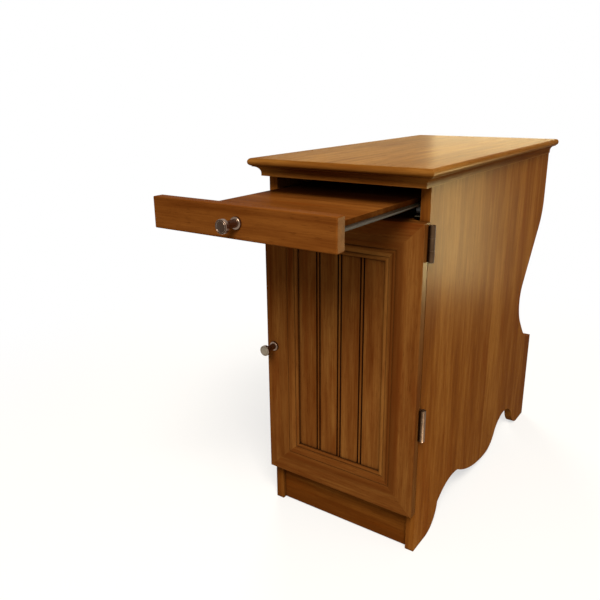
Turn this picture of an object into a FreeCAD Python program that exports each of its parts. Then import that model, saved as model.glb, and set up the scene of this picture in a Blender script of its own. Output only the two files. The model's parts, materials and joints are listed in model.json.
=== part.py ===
import FreeCAD, Part
import math
import os
from typing import NamedTuple

# Narrow chairside table with a door, a pull-out tray and a magazine pocket behind the cabinet.
# Millimetres. X runs across the table, -Y is the front, +Z is up and the floor is at zero.
# Pieces are drawn from the front plane of the side panels and moved to the origin when written.

# Whole table
carcass_width = 280.0
carcass_depth = 586.0
table_height = 628.0
tray_travel = 230.0
front_gap = 2.0
front_reveal = 2.0
cut_overrun = 2.0
fit_clearance = 0.05
run_clearance = 0.3
straight_share = 0.01

# Boards
side_thickness = 15.0
top_thickness = 12.0
bottom_thickness = 15.0
divider_thickness = 15.0
back_thickness = 12.0
kick_thickness = 15.0
shelf_thickness = 12.0
rack_floor_thickness = 12.0
rack_panel_thickness = 15.0
edge_round = 1.0

# Side panel outline
foot_length = 45.0
scroll_height = 67.0
waist_depth = 108.0
waist_height = 306.0
waist_radius = 60.0
shoulder_radius = 95.0
slope_angle = 36.0
scoop_radius = 80.0
pocket_angle = 41.0
pocket_slope = 31.0
bowl_radius = 96.0

# Top and its moulding
top_overhang = 17.0
moulding_height = 16.0
moulding_reach = 12.0
lower_edge_height = 4.0
lower_edge_reach = 1.4
fillet_height = 1.2

# Cabinet interior
plinth_height = 80.0
kick_setback = 6.0
kick_floor_gap = 2.0
back_setback = 116.0
rack_panel_height = 110.0
divider_drop = 1.0
shelf_front_setback = 12.0
shelf_side_gap = 1.0
shelf_pin_radius = 2.5
shelf_pin_depth = 9.0
shelf_tongue_length = 8.0
shelf_tongue_width = 9.0
shelf_tongue_thickness = 2.0
shelf_pin_inset = 45.0
shelf_hole_pitch = 32.0
shelf_holes_each_way = 2

# Door
door_thickness = 16.0
door_drop = 5.0
door_top_reveal = 5.0
frame_width = 61.0
border_width = 24.0
border_round = 1.8
crest_width = 10.0
crest_rise = 1.0
crest_fall = 1.6
sticking_width = 19.0
quirk_width = 1.2
quirk_depth = 0.7
frame_bead_width = 3.6
frame_bead_rise = 1.0
lip_bead_width = 5.4
lip_bead_rise = 1.2
panel_recess = 8.0
panel_thickness = 6.0
panel_tongue = 7.0
panel_tongue_gap = 1.0
lip_depth = 3.2
board_pitch = 40.0
bead_groove_width = 3.0
bead_groove_depth = 2.4
bead_strip_width = 2.8
bead_grooves = 3

# Door hinges
hinge_length = 53.0
hinge_upper_drop = 30.5
hinge_lower_rise = 160.0
leaf_thickness = 1.6
leaf_width = 13.0
leaf_nest_gap = 0.4
barrel_radius = 4.6
barrel_gap = 0.3
leaf_rim = 3.0
pin_radius = 1.8
pin_head_radius = 2.8
pin_head_height = 0.8
knuckle_gap = 0.3

# Door catch and bumpers
catch_length = 40.0
catch_depth = 14.0
catch_height = 12.0
catch_wall = 2.5
catch_side_gap = 30.0
catch_ear = 9.0
catch_ear_thickness = 2.5
strike_thickness = 1.2
strike_width = 20.0
strike_height = 22.0
bumper_radius = 4.0
bumper_height = 1.7
bumper_inset = 42.0

# Knobs
knob_base_radius = 8.0
knob_base_height = 4.0
knob_neck_radius = 5.0
knob_cap_radius = 9.0
knob_cap_height = 6.5
knob_reach = 28.5
knob_round = 1.8
knob_dome = 0.8
door_knob_inset = 15.0
knob_screw_radius = 2.0
knob_screw_head_radius = 4.2
knob_screw_head_height = 1.6
knob_thread = 10.0

# Tray
tray_front_thickness = 16.0
tray_front_height = 42.0
tray_front_overhang = 2.0
tray_lip = 17.0
tray_panel_thickness = 12.0
tray_panel_length = 350.0
tray_front_round = 1.5
bracket_leg = 18.0
bracket_drop = 10.0
bracket_width = 16.0
bracket_sheet = 1.5
bracket_inset = 60.0

# Tray runners
runner_space = 12.5
runner_length = 300.0
runner_sheet = 1.2
runner_setback = 2.0
runner_rise = 5.0
runner_foot = 14.0
runner_upper_flange = 5.0
runner_lower_flange = 8.5
runner_edge_gap = 0.8
runner_end = 10.0
roller_radius = 6.5
roller_width = 6.5
axle_radius = 2.5
axle_head_radius = 3.6
axle_head_height = 0.6
roller_side_gap = 0.1
stop_thickness = 2.0
stop_reach = 5.0

# Dowels and cam fittings
dowel_radius = 3.0
dowel_length = 24.0
dowel_side_depth = 9.0
dowel_spare = 0.5
cam_radius = 7.5
cam_height = 11.0
cam_distance = 24.0
cam_bolt_radius = 2.5
cam_bolt_thread = 9.0
cam_head_radius = 3.2
cam_head_length = 4.0
cam_recess_width = 1.6
cam_recess_depth = 2.5
cam_recess_share = 0.6

# Screws
pan_head_radius = 3.2
pan_head_height = 0.8
pan_shank_radius = 1.7
small_head_radius = 2.9
small_head_height = 1.2
small_shank_radius = 1.5
sunk_head_height = 1.4
strike_head_radius = 2.3
strike_head_height = 1.0
strike_shank_radius = 1.2
runner_screw_length = 12.0
tray_screw_length = 10.0
hinge_screw_length = 13.0
catch_screw_length = 12.0
strike_screw_length = 10.0
bracket_screw_length = 9.0


class ScrewSize(NamedTuple):
    """Sizes of one kind of screw; a sunk screw has a cone for a head."""

    head_radius: float
    head_height: float
    shank_radius: float
    shank_length: float
    sunk: bool


runner_screw = ScrewSize(pan_head_radius, pan_head_height, pan_shank_radius, runner_screw_length, False)
tray_screw = ScrewSize(pan_head_radius, pan_head_height, pan_shank_radius, tray_screw_length, False)
hinge_screw = ScrewSize(small_head_radius, sunk_head_height, small_shank_radius, hinge_screw_length, True)
catch_screw = ScrewSize(small_head_radius, small_head_height, small_shank_radius, catch_screw_length, False)
bracket_screw = catch_screw._replace(shank_length=bracket_screw_length)
strike_screw = ScrewSize(strike_head_radius, strike_head_height, strike_shank_radius,
                         strike_screw_length, True)

# Worked-out places
X, Y, Z = (FreeCAD.Vector(1, 0, 0), FreeCAD.Vector(0, 1, 0), FreeCAD.Vector(0, 0, 1))
half_width = carcass_width / 2
inner_x = half_width - side_thickness
top_z = table_height - top_thickness
moulding_z = top_z - moulding_height
tray_front_top = moulding_z - front_reveal
tray_front_z = tray_front_top - tray_front_height
door_top = tray_front_z - door_top_reveal
door_z = plinth_height - door_drop
door_height = door_top - door_z
door_back_y = -front_gap
door_front_y = door_back_y - door_thickness
moulding_front_y = door_front_y
tray_back_y = -front_gap - tray_travel
tray_front_y = tray_back_y - tray_front_thickness
tray_panel_top = tray_front_top - tray_lip
tray_panel_z = tray_panel_top - tray_panel_thickness
tray_half_width = inner_x - runner_space
divider_top = door_top - divider_drop
divider_z = divider_top - divider_thickness
floor_z = plinth_height + bottom_thickness
back_y = carcass_depth - back_setback - back_thickness
rack_panel_y = carcass_depth - rack_panel_thickness
shelf_z = (floor_z + divider_z - shelf_thickness) / 2
hinge_x = half_width + barrel_gap + barrel_radius
hinge_y = -front_gap / 2
origin_y = (carcass_depth + tray_front_y - knob_reach - knob_dome) / 2

nodes: dict[str, Part.Shape] = {}


# Helpers

def vec(x: float, y: float, z: float) -> FreeCAD.Vector:
    """A point or direction."""
    return FreeCAD.Vector(x, y, z)


def box(x0: float, x1: float, y0: float, y1: float, z0: float, z1: float) -> Part.Shape:
    """A box between two values on each axis."""
    return Part.makeBox(x1 - x0, y1 - y0, z1 - z0, vec(x0, y0, z0))


def rod(radius: float, start: FreeCAD.Vector, axis: FreeCAD.Vector, length: float) -> Part.Shape:
    """A round rod from a start point along an axis."""
    return Part.makeCylinder(radius, length, start, axis)


def mirrored(shape: Part.Shape) -> Part.Shape:
    """The same piece for the other side of the table."""
    return shape.mirror(vec(0, 0, 0), X)


def outline(start: tuple, steps: list) -> Part.Wire:
    """A closed wire of (y, z) points; a step of two points is an arc through the first."""
    at = vec(0, *start)
    edges = []
    for step in steps:
        end = vec(0, *step[-1])
        if len(step) == 1:
            edges.append(Part.LineSegment(at, end).toShape())
        else:
            edges.append(Part.Arc(at, vec(0, *step[0]), end).toShape())
        at = end
    return Part.Wire(edges)


def eased(shape: Part.Shape, radius: float, wanted) -> Part.Shape:
    """The shape with the straight edges that the test picks rounded a little."""
    edges = [edge for edge in shape.Edges if wanted(edge)]
    return shape.makeFillet(radius, edges)


def along(edge: Part.Edge, axis: FreeCAD.Vector) -> bool:
    """Whether an edge is straight and runs along an axis."""
    first, last = (vertex.Point for vertex in (edge.Vertexes[0], edge.Vertexes[-1]))
    run = last - first
    return run.Length > 0 and run.cross(axis).Length / run.Length < straight_share


def drill(name: str, start: FreeCAD.Vector, axis: FreeCAD.Vector, radius: float, depth: float) -> None:
    """Bores a hole into a piece from a point on its face."""
    mouth = start - axis * cut_overrun
    nodes[name] = nodes[name].cut(rod(radius, mouth, axis, depth + cut_overrun))


def screw(size: ScrewSize, seat: FreeCAD.Vector, axis: FreeCAD.Vector) -> Part.Shape:
    """A screw driven along an axis, its head on the seat or sunk to its level."""
    shank = rod(size.shank_radius, seat, axis, size.shank_length)
    if size.sunk:
        head = Part.makeCone(size.head_radius, size.shank_radius, size.head_height, seat, axis)
    else:
        head = rod(size.head_radius, seat - axis * size.head_height, axis, size.head_height)
    return head.fuse(shank).removeSplitter()


def fasten(size: ScrewSize, seats: list, axis: FreeCAD.Vector, held: str, holder: str) -> list:
    """Screws through one piece into another, with their holes in both."""
    for seat in seats:
        drill(held, seat, axis, size.shank_radius + fit_clearance, size.shank_length + fit_clearance)
        drill(holder, seat, axis, size.shank_radius + fit_clearance, size.shank_length + fit_clearance)
        if size.sunk:
            wide = size.head_radius + fit_clearance
            narrow = size.shank_radius + fit_clearance
            sink = Part.makeCone(wide, narrow, size.head_height, seat, axis)
            nodes[held] = nodes[held].cut(sink)
    return [screw(size, seat, axis) for seat in seats]


def group(name: str, shapes: list) -> None:
    """Keeps several separate solids as one node."""
    solids = [solid for shape in shapes for solid in shape.Solids]
    nodes[name] = Part.makeCompound(solids)


# Side panels: flat feet, a scrolled lower edge and a deep waist at the back

front_toe_shares = [((0.133, 0.20), (0.158, 0.63))]
front_arch_shares = [((0.222, 0.90), (0.312, 0.89))]
pendant_shares = [((0.435, 0.42), (0.580, 0.25)), ((0.631, 0.40), (0.662, 0.70))]
rear_arch_shares = [((0.752, 1.00), (0.848, 0.57))]
rear_toe_share = (0.872, 0.22)


def side_outline() -> Part.Wire:
    """The side panel's edge, from the front foot round by the floor, the back and the top."""
    steps = [[(foot_length, 0)]]
    shares = front_toe_shares + front_arch_shares + pendant_shares + rear_arch_shares
    for middle, end in shares:
        steps.append([(y * carcass_depth, z * scroll_height) for y, z in (middle, end)])
    rear_foot_y = carcass_depth - foot_length
    steps.append([(rear_toe_share[0] * carcass_depth, rear_toe_share[1] * scroll_height), (rear_foot_y, 0)])
    steps.append([(carcass_depth, 0)])
    steps += waist_steps()
    steps.append([(carcass_depth, top_z)])
    steps.append([(0, top_z)])
    steps.append([(0, 0)])
    return outline((0, 0), steps)


def waist_steps() -> list:
    """Up from the back edge: the pocket's bowl, slope and scoop, then hollow, slope and round shoulder."""
    turn = math.radians(slope_angle)
    drop = math.radians(pocket_angle)
    waist_y = carcass_depth - waist_depth

    def scoop(angle: float) -> tuple:
        return (waist_y + scoop_radius * (1 - math.cos(angle)), waist_height - scoop_radius * math.sin(angle))

    scoop_y, scoop_z = scoop(drop)
    start_y = scoop_y + pocket_slope * math.sin(drop)
    start_z = scoop_z - pocket_slope * math.cos(drop)
    bowl_y = start_y + bowl_radius * math.cos(drop)
    bowl_z = start_z + bowl_radius * math.sin(drop)

    def bowl(y: float) -> tuple:
        return (y, bowl_z - math.sqrt(bowl_radius ** 2 - (y - bowl_y) ** 2))

    def hollow(angle: float) -> tuple:
        return (waist_y + waist_radius * (1 - math.cos(angle)), waist_height + waist_radius * math.sin(angle))

    radii = waist_radius + shoulder_radius
    slope = (waist_depth - radii * (1 - math.cos(turn))) / math.sin(turn)
    shoulder_z = waist_height + radii * math.sin(turn) + slope * math.cos(turn)

    def shoulder(angle: float) -> tuple:
        back = shoulder_radius * (1 - math.cos(angle))
        return (carcass_depth - back, shoulder_z - shoulder_radius * math.sin(angle))

    return [[bowl(carcass_depth)], [bowl((carcass_depth + start_y) / 2), (start_y, start_z)],
            [(scoop_y, scoop_z)], [scoop(drop / 2), (waist_y, waist_height)],
            [hollow(turn / 2), hollow(turn)], [shoulder(turn)], [shoulder(turn / 2), shoulder(0)]]


def build_sides() -> None:
    """Both side panels."""
    face = Part.Face(side_outline())
    panel = face.extrude(X * side_thickness)
    panel.translate(X * inner_x)
    nodes["side_panel_right"] = panel
    nodes["side_panel_left"] = mirrored(panel)


# Top board with a rounded nose on three edges, and the cove moulding below it

def build_top() -> None:
    """The top board, its front and side edges turned to a half round."""
    reach_x = half_width + top_overhang
    front_y = moulding_front_y - top_overhang
    nose = top_thickness / 2
    plank = box(-reach_x, reach_x, front_y, carcass_depth, top_z, table_height)

    def nosed(edge: Part.Edge) -> bool:
        centre = edge.CenterOfMass
        at_front = centre.y < front_y + nose
        at_side = abs(centre.x) > reach_x - nose and not along(edge, Z)
        return (at_front and not along(edge, Z)) or at_side

    nodes["top_board"] = plank.makeFillet(nose - run_clearance, [e for e in plank.Edges if nosed(e)])


def moulding_bar(back: float, length: float) -> Part.Shape:
    """A bar of the moulding along X: a square lower edge, a wide cove and a thin fillet, facing -Y."""
    cove_top = moulding_height - fillet_height
    lean = math.sqrt(0.5)
    cove_middle = (-moulding_reach + (moulding_reach - lower_edge_reach) * lean,
                   lower_edge_height + (cove_top - lower_edge_height) * lean)
    steps = [[(-lower_edge_reach, 0)],
             [(-lower_edge_reach, lower_edge_height)],
             [cove_middle, (-moulding_reach, cove_top)],
             [(-moulding_reach, moulding_height)],
             [(back, moulding_height)],
             [(back, 0)]]
    bar = Part.Face(outline((back, 0), steps)).extrude(X * length)
    bar.translate(X * (-length / 2))
    return bar


def mitre(length: float, depth: float, height: float, end: int, inner: float) -> Part.Shape:
    """A wedge that cuts one end of a bar along X at 45 degrees, outward of a line at the inner corner."""
    reach = depth + cut_overrun
    corner = vec(end * inner, 0, -cut_overrun)
    out = vec(end * (inner + reach), -reach, -cut_overrun)
    far = vec(end * (length + reach), -reach, -cut_overrun)
    back = vec(end * (length + reach), reach, -cut_overrun)
    near = vec(end * inner, reach, -cut_overrun)
    wire = Part.makePolygon([corner, out, far, back, near, corner])
    return Part.Face(wire).extrude(Z * (height + 2 * cut_overrun))


def build_moulding() -> None:
    """The front strip, thick enough to reach the side panels, and a strip along each side."""
    long_front = carcass_width + 2 * moulding_reach
    front = moulding_bar(-moulding_front_y, long_front)
    for end in (-1, 1):
        corner = mitre(long_front, moulding_reach - moulding_front_y, moulding_height, end, half_width)
        front = front.cut(corner)
    front.translate(vec(0, moulding_front_y, moulding_z))
    nodes["top_moulding_front"] = front

    run = carcass_depth - moulding_front_y
    long_side = 2 * (run + moulding_reach)
    side = moulding_bar(0, long_side)
    side = side.cut(mitre(long_side, moulding_reach, moulding_height, -1, 0))
    side = side.cut(box(run, long_side, -moulding_reach - cut_overrun, cut_overrun,
                        -cut_overrun, moulding_height + cut_overrun))
    side.rotate(vec(0, 0, 0), Z, 90)
    side.translate(vec(half_width, moulding_front_y, moulding_z))
    nodes["top_moulding_right"] = side
    nodes["top_moulding_left"] = mirrored(side)


# Cabinet boards between the side panels

def build_boards() -> None:
    """Bottom, divider, back, toe kick, magazine rack and loose shelf."""
    nodes["bottom_panel"] = box(-inner_x, inner_x, 0, back_y, plinth_height, floor_z)
    nodes["divider_panel"] = box(-inner_x, inner_x, 0, back_y, divider_z, divider_top)
    nodes["back_panel"] = box(-inner_x, inner_x, back_y, back_y + back_thickness, plinth_height, top_z)
    kick_back = kick_setback + kick_thickness
    nodes["toe_kick"] = box(-inner_x, inner_x, kick_setback, kick_back, kick_floor_gap, plinth_height)
    pocket_y = back_y + back_thickness
    rack_floor_top = plinth_height + rack_floor_thickness
    nodes["rack_floor"] = box(-inner_x, inner_x, pocket_y, rack_panel_y, plinth_height, rack_floor_top)
    rack_top = plinth_height + rack_panel_height
    rack = box(-inner_x, inner_x, rack_panel_y, carcass_depth, plinth_height, rack_top)
    nodes["rack_panel"] = eased(rack, edge_round,
                                lambda edge: along(edge, X) and edge.CenterOfMass.z > plinth_height)
    shelf_x = inner_x - shelf_side_gap
    shelf_back = back_y - shelf_side_gap
    shelf = box(-shelf_x, shelf_x, shelf_front_setback, shelf_back, shelf_z, shelf_z + shelf_thickness)
    at_front = shelf_front_setback + shelf_thickness
    nodes["adjustable_shelf"] = eased(shelf, edge_round,
                                      lambda edge: along(edge, X) and edge.CenterOfMass.y < at_front)


def build_shelf_pins() -> None:
    """Four spoon pins under the shelf, and the spare holes above and below them."""
    pin_z = shelf_z - shelf_tongue_thickness - shelf_pin_radius / 2
    half_tongue = shelf_tongue_width / 2
    pins = []
    for y in (shelf_front_setback + shelf_pin_inset, back_y - shelf_pin_inset):
        tongue = box(inner_x - shelf_tongue_length, inner_x, y - half_tongue, y + half_tongue,
                     shelf_z - shelf_tongue_thickness, shelf_z)
        stem = rod(shelf_pin_radius, vec(inner_x - shelf_tongue_length, y, pin_z), X,
                   shelf_tongue_length + shelf_pin_depth)
        pin = tongue.fuse(stem).removeSplitter()
        pins += [pin, mirrored(pin)]
        for step in range(-shelf_holes_each_way, shelf_holes_each_way + 1):
            hole_z = pin_z + step * shelf_hole_pitch
            for name, sign in (("side_panel_right", 1), ("side_panel_left", -1)):
                drill(name, vec(sign * inner_x, y, hole_z), X * sign, shelf_pin_radius + fit_clearance,
                      shelf_pin_depth + dowel_spare)
    group("shelf_pins", pins)


# Door: four mitred frame members with a moulded inner edge round a grooved panel

cove_middle_share = (0.62, 0.5)
swell_share = 0.75


def frame_member(length: float, offset: float) -> Part.Shape:
    """A lower member about the door's middle: its outer edge at minus offset, its face at zero."""
    crest = border_width + crest_width
    band_end = frame_width - sticking_width
    bead_start = band_end + quirk_width
    bead_end = bead_start + frame_bead_width
    cove_start = bead_end + quirk_width / 2
    quirk = crest_fall + quirk_depth
    lip = panel_recess - lip_depth
    lip_bead = frame_width - lip_bead_width
    cove_end = lip_bead - quirk_width
    cove_middle = (quirk + (lip - quirk) * cove_middle_share[0],
                   cove_start + (cove_end - cove_start) * cove_middle_share[1])
    rise_middle = (crest_rise * (1 - swell_share), (border_width + crest) / 2)
    fall_middle = (crest_fall * (1 - swell_share), (crest + band_end) / 2)
    corner = border_round * (1 - math.sqrt(0.5))
    groove_front = panel_recess - fit_clearance
    groove_back = panel_recess + panel_thickness + fit_clearance
    groove_floor = frame_width - panel_tongue - panel_tongue_gap
    steps = [[(crest_rise + border_round, 0)],
             [(crest_rise + corner, corner), (crest_rise, border_round)],
             [(crest_rise, border_width)],
             [rise_middle, (0, crest)],
             [fall_middle, (crest_fall, band_end)],
             [(quirk, bead_start - quirk_width / 2)],
             [(crest_fall, bead_start)],
             [(crest_fall - frame_bead_rise, (bead_start + bead_end) / 2), (crest_fall, bead_end)],
             [(quirk, cove_start)],
             [cove_middle, (lip, cove_end)],
             [(lip + quirk_depth, lip_bead - quirk_width / 2)],
             [(lip, lip_bead)],
             [(lip - lip_bead_rise, (lip_bead + frame_width) / 2), (lip, frame_width)],
             [(groove_front, frame_width)],
             [(groove_front, groove_floor)],
             [(groove_back, groove_floor)],
             [(groove_back, frame_width)],
             [(door_thickness, frame_width)],
             [(door_thickness, 0)]]
    bar = Part.Face(outline((door_thickness, 0), steps)).extrude(X * length)
    bar.translate(vec(-length / 2, 0, -offset))
    return bar.common(mitre_prism(length, offset))


def mitre_prism(length: float, offset: float) -> Part.Shape:
    """The room of one frame member, cut back at 45 degrees from both outer corners."""
    low = -offset - cut_overrun
    high = -offset + frame_width + cut_overrun
    wide = length / 2 + cut_overrun
    narrow = length / 2 - frame_width - cut_overrun
    corners = [(-wide, low), (wide, low), (narrow, high), (-narrow, high), (-wide, low)]
    wire = Part.makePolygon([vec(x, -cut_overrun, z) for x, z in corners])
    return Part.Face(wire).extrude(Y * (door_thickness + 2 * cut_overrun))


def build_door() -> None:
    """The frame members turned to their four sides, and the panel in their grooves."""
    middle = vec(0, door_front_y, door_z + door_height / 2)
    turns = {"door_rail_bottom": 0, "door_stile_left": 90, "door_rail_top": 180, "door_stile_right": 270}
    for name, turn in turns.items():
        if turn % 180:
            member = frame_member(door_height, half_width)
        else:
            member = frame_member(carcass_width, door_height / 2)
        member.rotate(vec(0, 0, 0), Y, turn)
        member.translate(middle)
        nodes[name] = member
    inset = frame_width - panel_tongue
    panel_y = door_front_y + panel_recess
    panel = box(inset - half_width, half_width - inset, panel_y, panel_y + panel_thickness,
                door_z + inset, door_top - inset)
    for x in groove_places():
        panel = panel.cut(vee_cut(x, panel_y))
    nodes["door_panel"] = panel


def groove_places() -> list:
    """X of every vee: a pair beside each bead strip."""
    spread = (bead_groove_width + bead_strip_width) / 2
    middles = [(index - (bead_grooves - 1) / 2) * board_pitch for index in range(bead_grooves)]
    return [middle + side * spread for middle in middles for side in (-1, 1)]


def vee_cut(x: float, face_y: float) -> Part.Shape:
    """A vee groove down the whole panel."""
    half = bead_groove_width / 2
    corners = [(x - half, face_y), (x, face_y + bead_groove_depth), (x + half, face_y)]
    corners += [(x + half, face_y - cut_overrun), (x - half, face_y - cut_overrun), corners[0]]
    wire = Part.makePolygon([vec(cx, cy, door_z) for cx, cy in corners])
    return Part.Face(wire).extrude(Z * door_height)


# Butt hinges: the door's leaf nests in the carcass leaf, in the gap beside the door

def knuckle(z0: float, z1: float) -> Part.Shape:
    """A length of the hinge barrel."""
    return rod(barrel_radius, vec(hinge_x, hinge_y, z0), Z, z1 - z0)


def build_hinge(word: str, middle_z: float) -> tuple:
    """One hinge; gives back its carcass screws and its door screws."""
    low = middle_z - hinge_length / 2
    high = middle_z + hinge_length / 2
    third = hinge_length / 3
    half_gap = knuckle_gap / 2
    bore = rod(pin_radius + fit_clearance, vec(hinge_x, hinge_y, low - cut_overrun), Z,
               hinge_length + 2 * cut_overrun)
    inner_edge = half_width - leaf_width
    nest_edge = inner_edge + leaf_rim

    plate = box(inner_edge, hinge_x, -leaf_thickness, 0, low, high)
    window = box(nest_edge, hinge_x + barrel_radius, -leaf_thickness - cut_overrun, cut_overrun,
                 low + third - half_gap, high - third + half_gap)
    outer_knuckles = [knuckle(low, low + third - half_gap), knuckle(high - third + half_gap, high)]
    fixed = plate.cut(window).fuse(outer_knuckles)
    nodes["hinge_side_leaf_" + word] = fixed.cut(bore).removeSplitter()

    leaf_back = door_back_y + leaf_thickness
    flap = box(nest_edge + leaf_nest_gap, hinge_x, door_back_y, leaf_back, low + third + half_gap,
               high - third - half_gap)
    moving = flap.fuse(knuckle(low + third + half_gap, high - third - half_gap))
    nodes["hinge_door_leaf_" + word] = moving.cut(bore).removeSplitter()

    pin = rod(pin_radius, vec(hinge_x, hinge_y, low), Z, hinge_length)
    for z in (low - pin_head_height, high):
        pin = pin.fuse(rod(pin_head_radius, vec(hinge_x, hinge_y, z), Z, pin_head_height))
    nodes["hinge_pin_" + word] = pin.removeSplitter()

    side_x = half_width - leaf_width / 2
    side_seats = [vec(side_x, -leaf_thickness, z) for z in (low + third / 2, high - third / 2)]
    side_screws = fasten(hinge_screw, side_seats, Y, "hinge_side_leaf_" + word, "side_panel_right")
    door_x = (nest_edge + leaf_nest_gap + half_width) / 2
    door_seats = [vec(door_x, leaf_back, middle_z + side * third / 4) for side in (-1, 1)]
    door_screws = fasten(hinge_screw, door_seats, -Y, "hinge_door_leaf_" + word, "door_stile_right")
    return side_screws, door_screws


def build_hinges() -> None:
    """Both hinges and their screws."""
    upper = build_hinge("upper", door_top - hinge_upper_drop)
    lower = build_hinge("lower", door_z + hinge_lower_rise)
    group("hinge_side_screws", upper[0] + lower[0])
    group("hinge_door_screws", upper[1] + lower[1])


# Magnetic catch under the divider, its strike plate and the bumpers on the door's back

def build_catch() -> None:
    """Catch body with its magnet, strike plate, screws and bumpers."""
    x0 = -inner_x + catch_side_gap
    x1 = x0 + catch_length
    front = door_back_y + strike_thickness + run_clearance
    back = front + catch_depth
    low = divider_z - catch_height
    body = box(x0, x1, front, back, low, divider_z)
    ears = box(x0 - catch_ear, x1 + catch_ear, front + catch_wall, back,
               divider_z - catch_ear_thickness, divider_z)
    pocket = box(x0 + catch_wall, x1 - catch_wall, front - cut_overrun, back - catch_wall,
                 low + catch_wall, divider_z - catch_wall)
    nodes["catch_body"] = body.fuse(ears).removeSplitter().cut(pocket)
    nodes["catch_magnet"] = box(x0 + catch_wall + fit_clearance, x1 - catch_wall - fit_clearance, front,
                                back - catch_wall, low + catch_wall + fit_clearance,
                                divider_z - catch_wall - fit_clearance)
    middle_y = (front + catch_wall + back) / 2
    ear_places = (x0 - catch_ear / 2, x1 + catch_ear / 2)
    seats = [vec(x, middle_y, divider_z - catch_ear_thickness) for x in ear_places]
    group("catch_screws", fasten(catch_screw, seats, Z, "catch_body", "divider_panel"))

    strike_x = (x0 + x1) / 2
    strike_z = divider_z - catch_height / 2
    strike_back = door_back_y + strike_thickness
    nodes["strike_plate"] = box(strike_x - strike_width / 2, strike_x + strike_width / 2,
                                door_back_y, strike_back,
                                strike_z - strike_height / 2, strike_z + strike_height / 2)
    strike_seat = vec(strike_x, strike_back, strike_z)
    group("strike_plate_screw", fasten(strike_screw, [strike_seat], -Y, "strike_plate", "door_rail_top"))

    bumper_x = -half_width + side_thickness / 2
    heights = (door_z + bumper_inset, door_top - bumper_inset)
    seats = [vec(bumper_x, door_back_y, z) for z in heights]
    group("door_bumpers", [rod(bumper_radius, seat, Y, bumper_height) for seat in seats])


# Knobs: a turned base, neck and cap, held by a screw from behind

def knob(foot: FreeCAD.Vector) -> Part.Shape:
    """A knob standing out towards -Y from a point on a front."""
    lean = knob_round * (1 - math.sqrt(0.5))
    cap_z = knob_reach - knob_cap_height
    base_edge = knob_base_radius - knob_round
    cap_edge = knob_cap_radius - knob_round
    neck_middle = (knob_base_height + cap_z) / 2
    dome_radius = (cap_edge ** 2 + knob_dome ** 2) / (2 * knob_dome)
    half_turn = math.asin(cap_edge / dome_radius) / 2
    dome_z = knob_reach + knob_dome - dome_radius
    dome_middle = (dome_radius * math.sin(half_turn), dome_z + dome_radius * math.cos(half_turn))
    steps = [[(knob_base_radius, 0)],
             [(knob_base_radius, knob_base_height - knob_round)],
             [(knob_base_radius - lean, knob_base_height - lean), (base_edge, knob_base_height)],
             [(knob_neck_radius, neck_middle), (cap_edge, cap_z)],
             [(knob_cap_radius - lean, cap_z + lean), (knob_cap_radius, cap_z + knob_round)],
             [(knob_cap_radius, knob_reach - knob_round)],
             [(knob_cap_radius - lean, knob_reach - lean), (cap_edge, knob_reach)],
             [dome_middle, (0, knob_reach + knob_dome)],
             [(0, 0)]]
    turned = Part.Face(outline((0, 0), steps)).revolve(vec(0, 0, 0), Z, 360)
    turned = turned.cut(rod(knob_screw_radius + fit_clearance, vec(0, 0, -cut_overrun), Z,
                            knob_thread + dowel_spare + cut_overrun))
    turned.rotate(vec(0, 0, 0), X, 90)
    turned.translate(foot)
    return turned


def fit_knob(name: str, board: str, foot: FreeCAD.Vector, thickness: float) -> None:
    """A knob on a board, with its screw in a counterbore at the back."""
    sink = knob_screw_head_height + run_clearance
    size = ScrewSize(knob_screw_head_radius, knob_screw_head_height, knob_screw_radius,
                     thickness - sink + knob_thread, False)
    back = foot + Y * thickness
    seat = back - Y * sink
    nodes[name] = knob(foot)
    drill(board, back, -Y, knob_screw_head_radius + run_clearance, sink)
    drill(board, seat, -Y, knob_screw_radius + fit_clearance, thickness)
    nodes[name + "_screw"] = screw(size, seat, -Y)


def build_knobs() -> None:
    """The door's knob near its free edge and the tray's knob in the middle of its front."""
    door_foot = vec(-half_width + door_knob_inset, door_front_y + crest_rise, door_z + door_height / 2)
    fit_knob("door_knob", "door_stile_left", door_foot, door_thickness - crest_rise)
    tray_foot = vec(0, tray_front_y, tray_front_z + tray_front_height / 2)
    fit_knob("tray_knob", "tray_front", tray_foot, tray_front_thickness)


# Tray: a front, a panel behind it and a pair of angle brackets

def build_tray() -> None:
    """The tray's front and panel."""
    reach_x = half_width + tray_front_overhang
    front = box(-reach_x, reach_x, tray_front_y, tray_back_y, tray_front_z, tray_front_top)
    nodes["tray_front"] = eased(front, tray_front_round, lambda edge: not along(edge, Y)
                                and edge.CenterOfMass.y < tray_front_y + tray_front_round)
    nodes["tray_panel"] = box(-tray_half_width, tray_half_width, tray_back_y, tray_back_y + tray_panel_length,
                              tray_panel_z, tray_panel_top)


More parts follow.
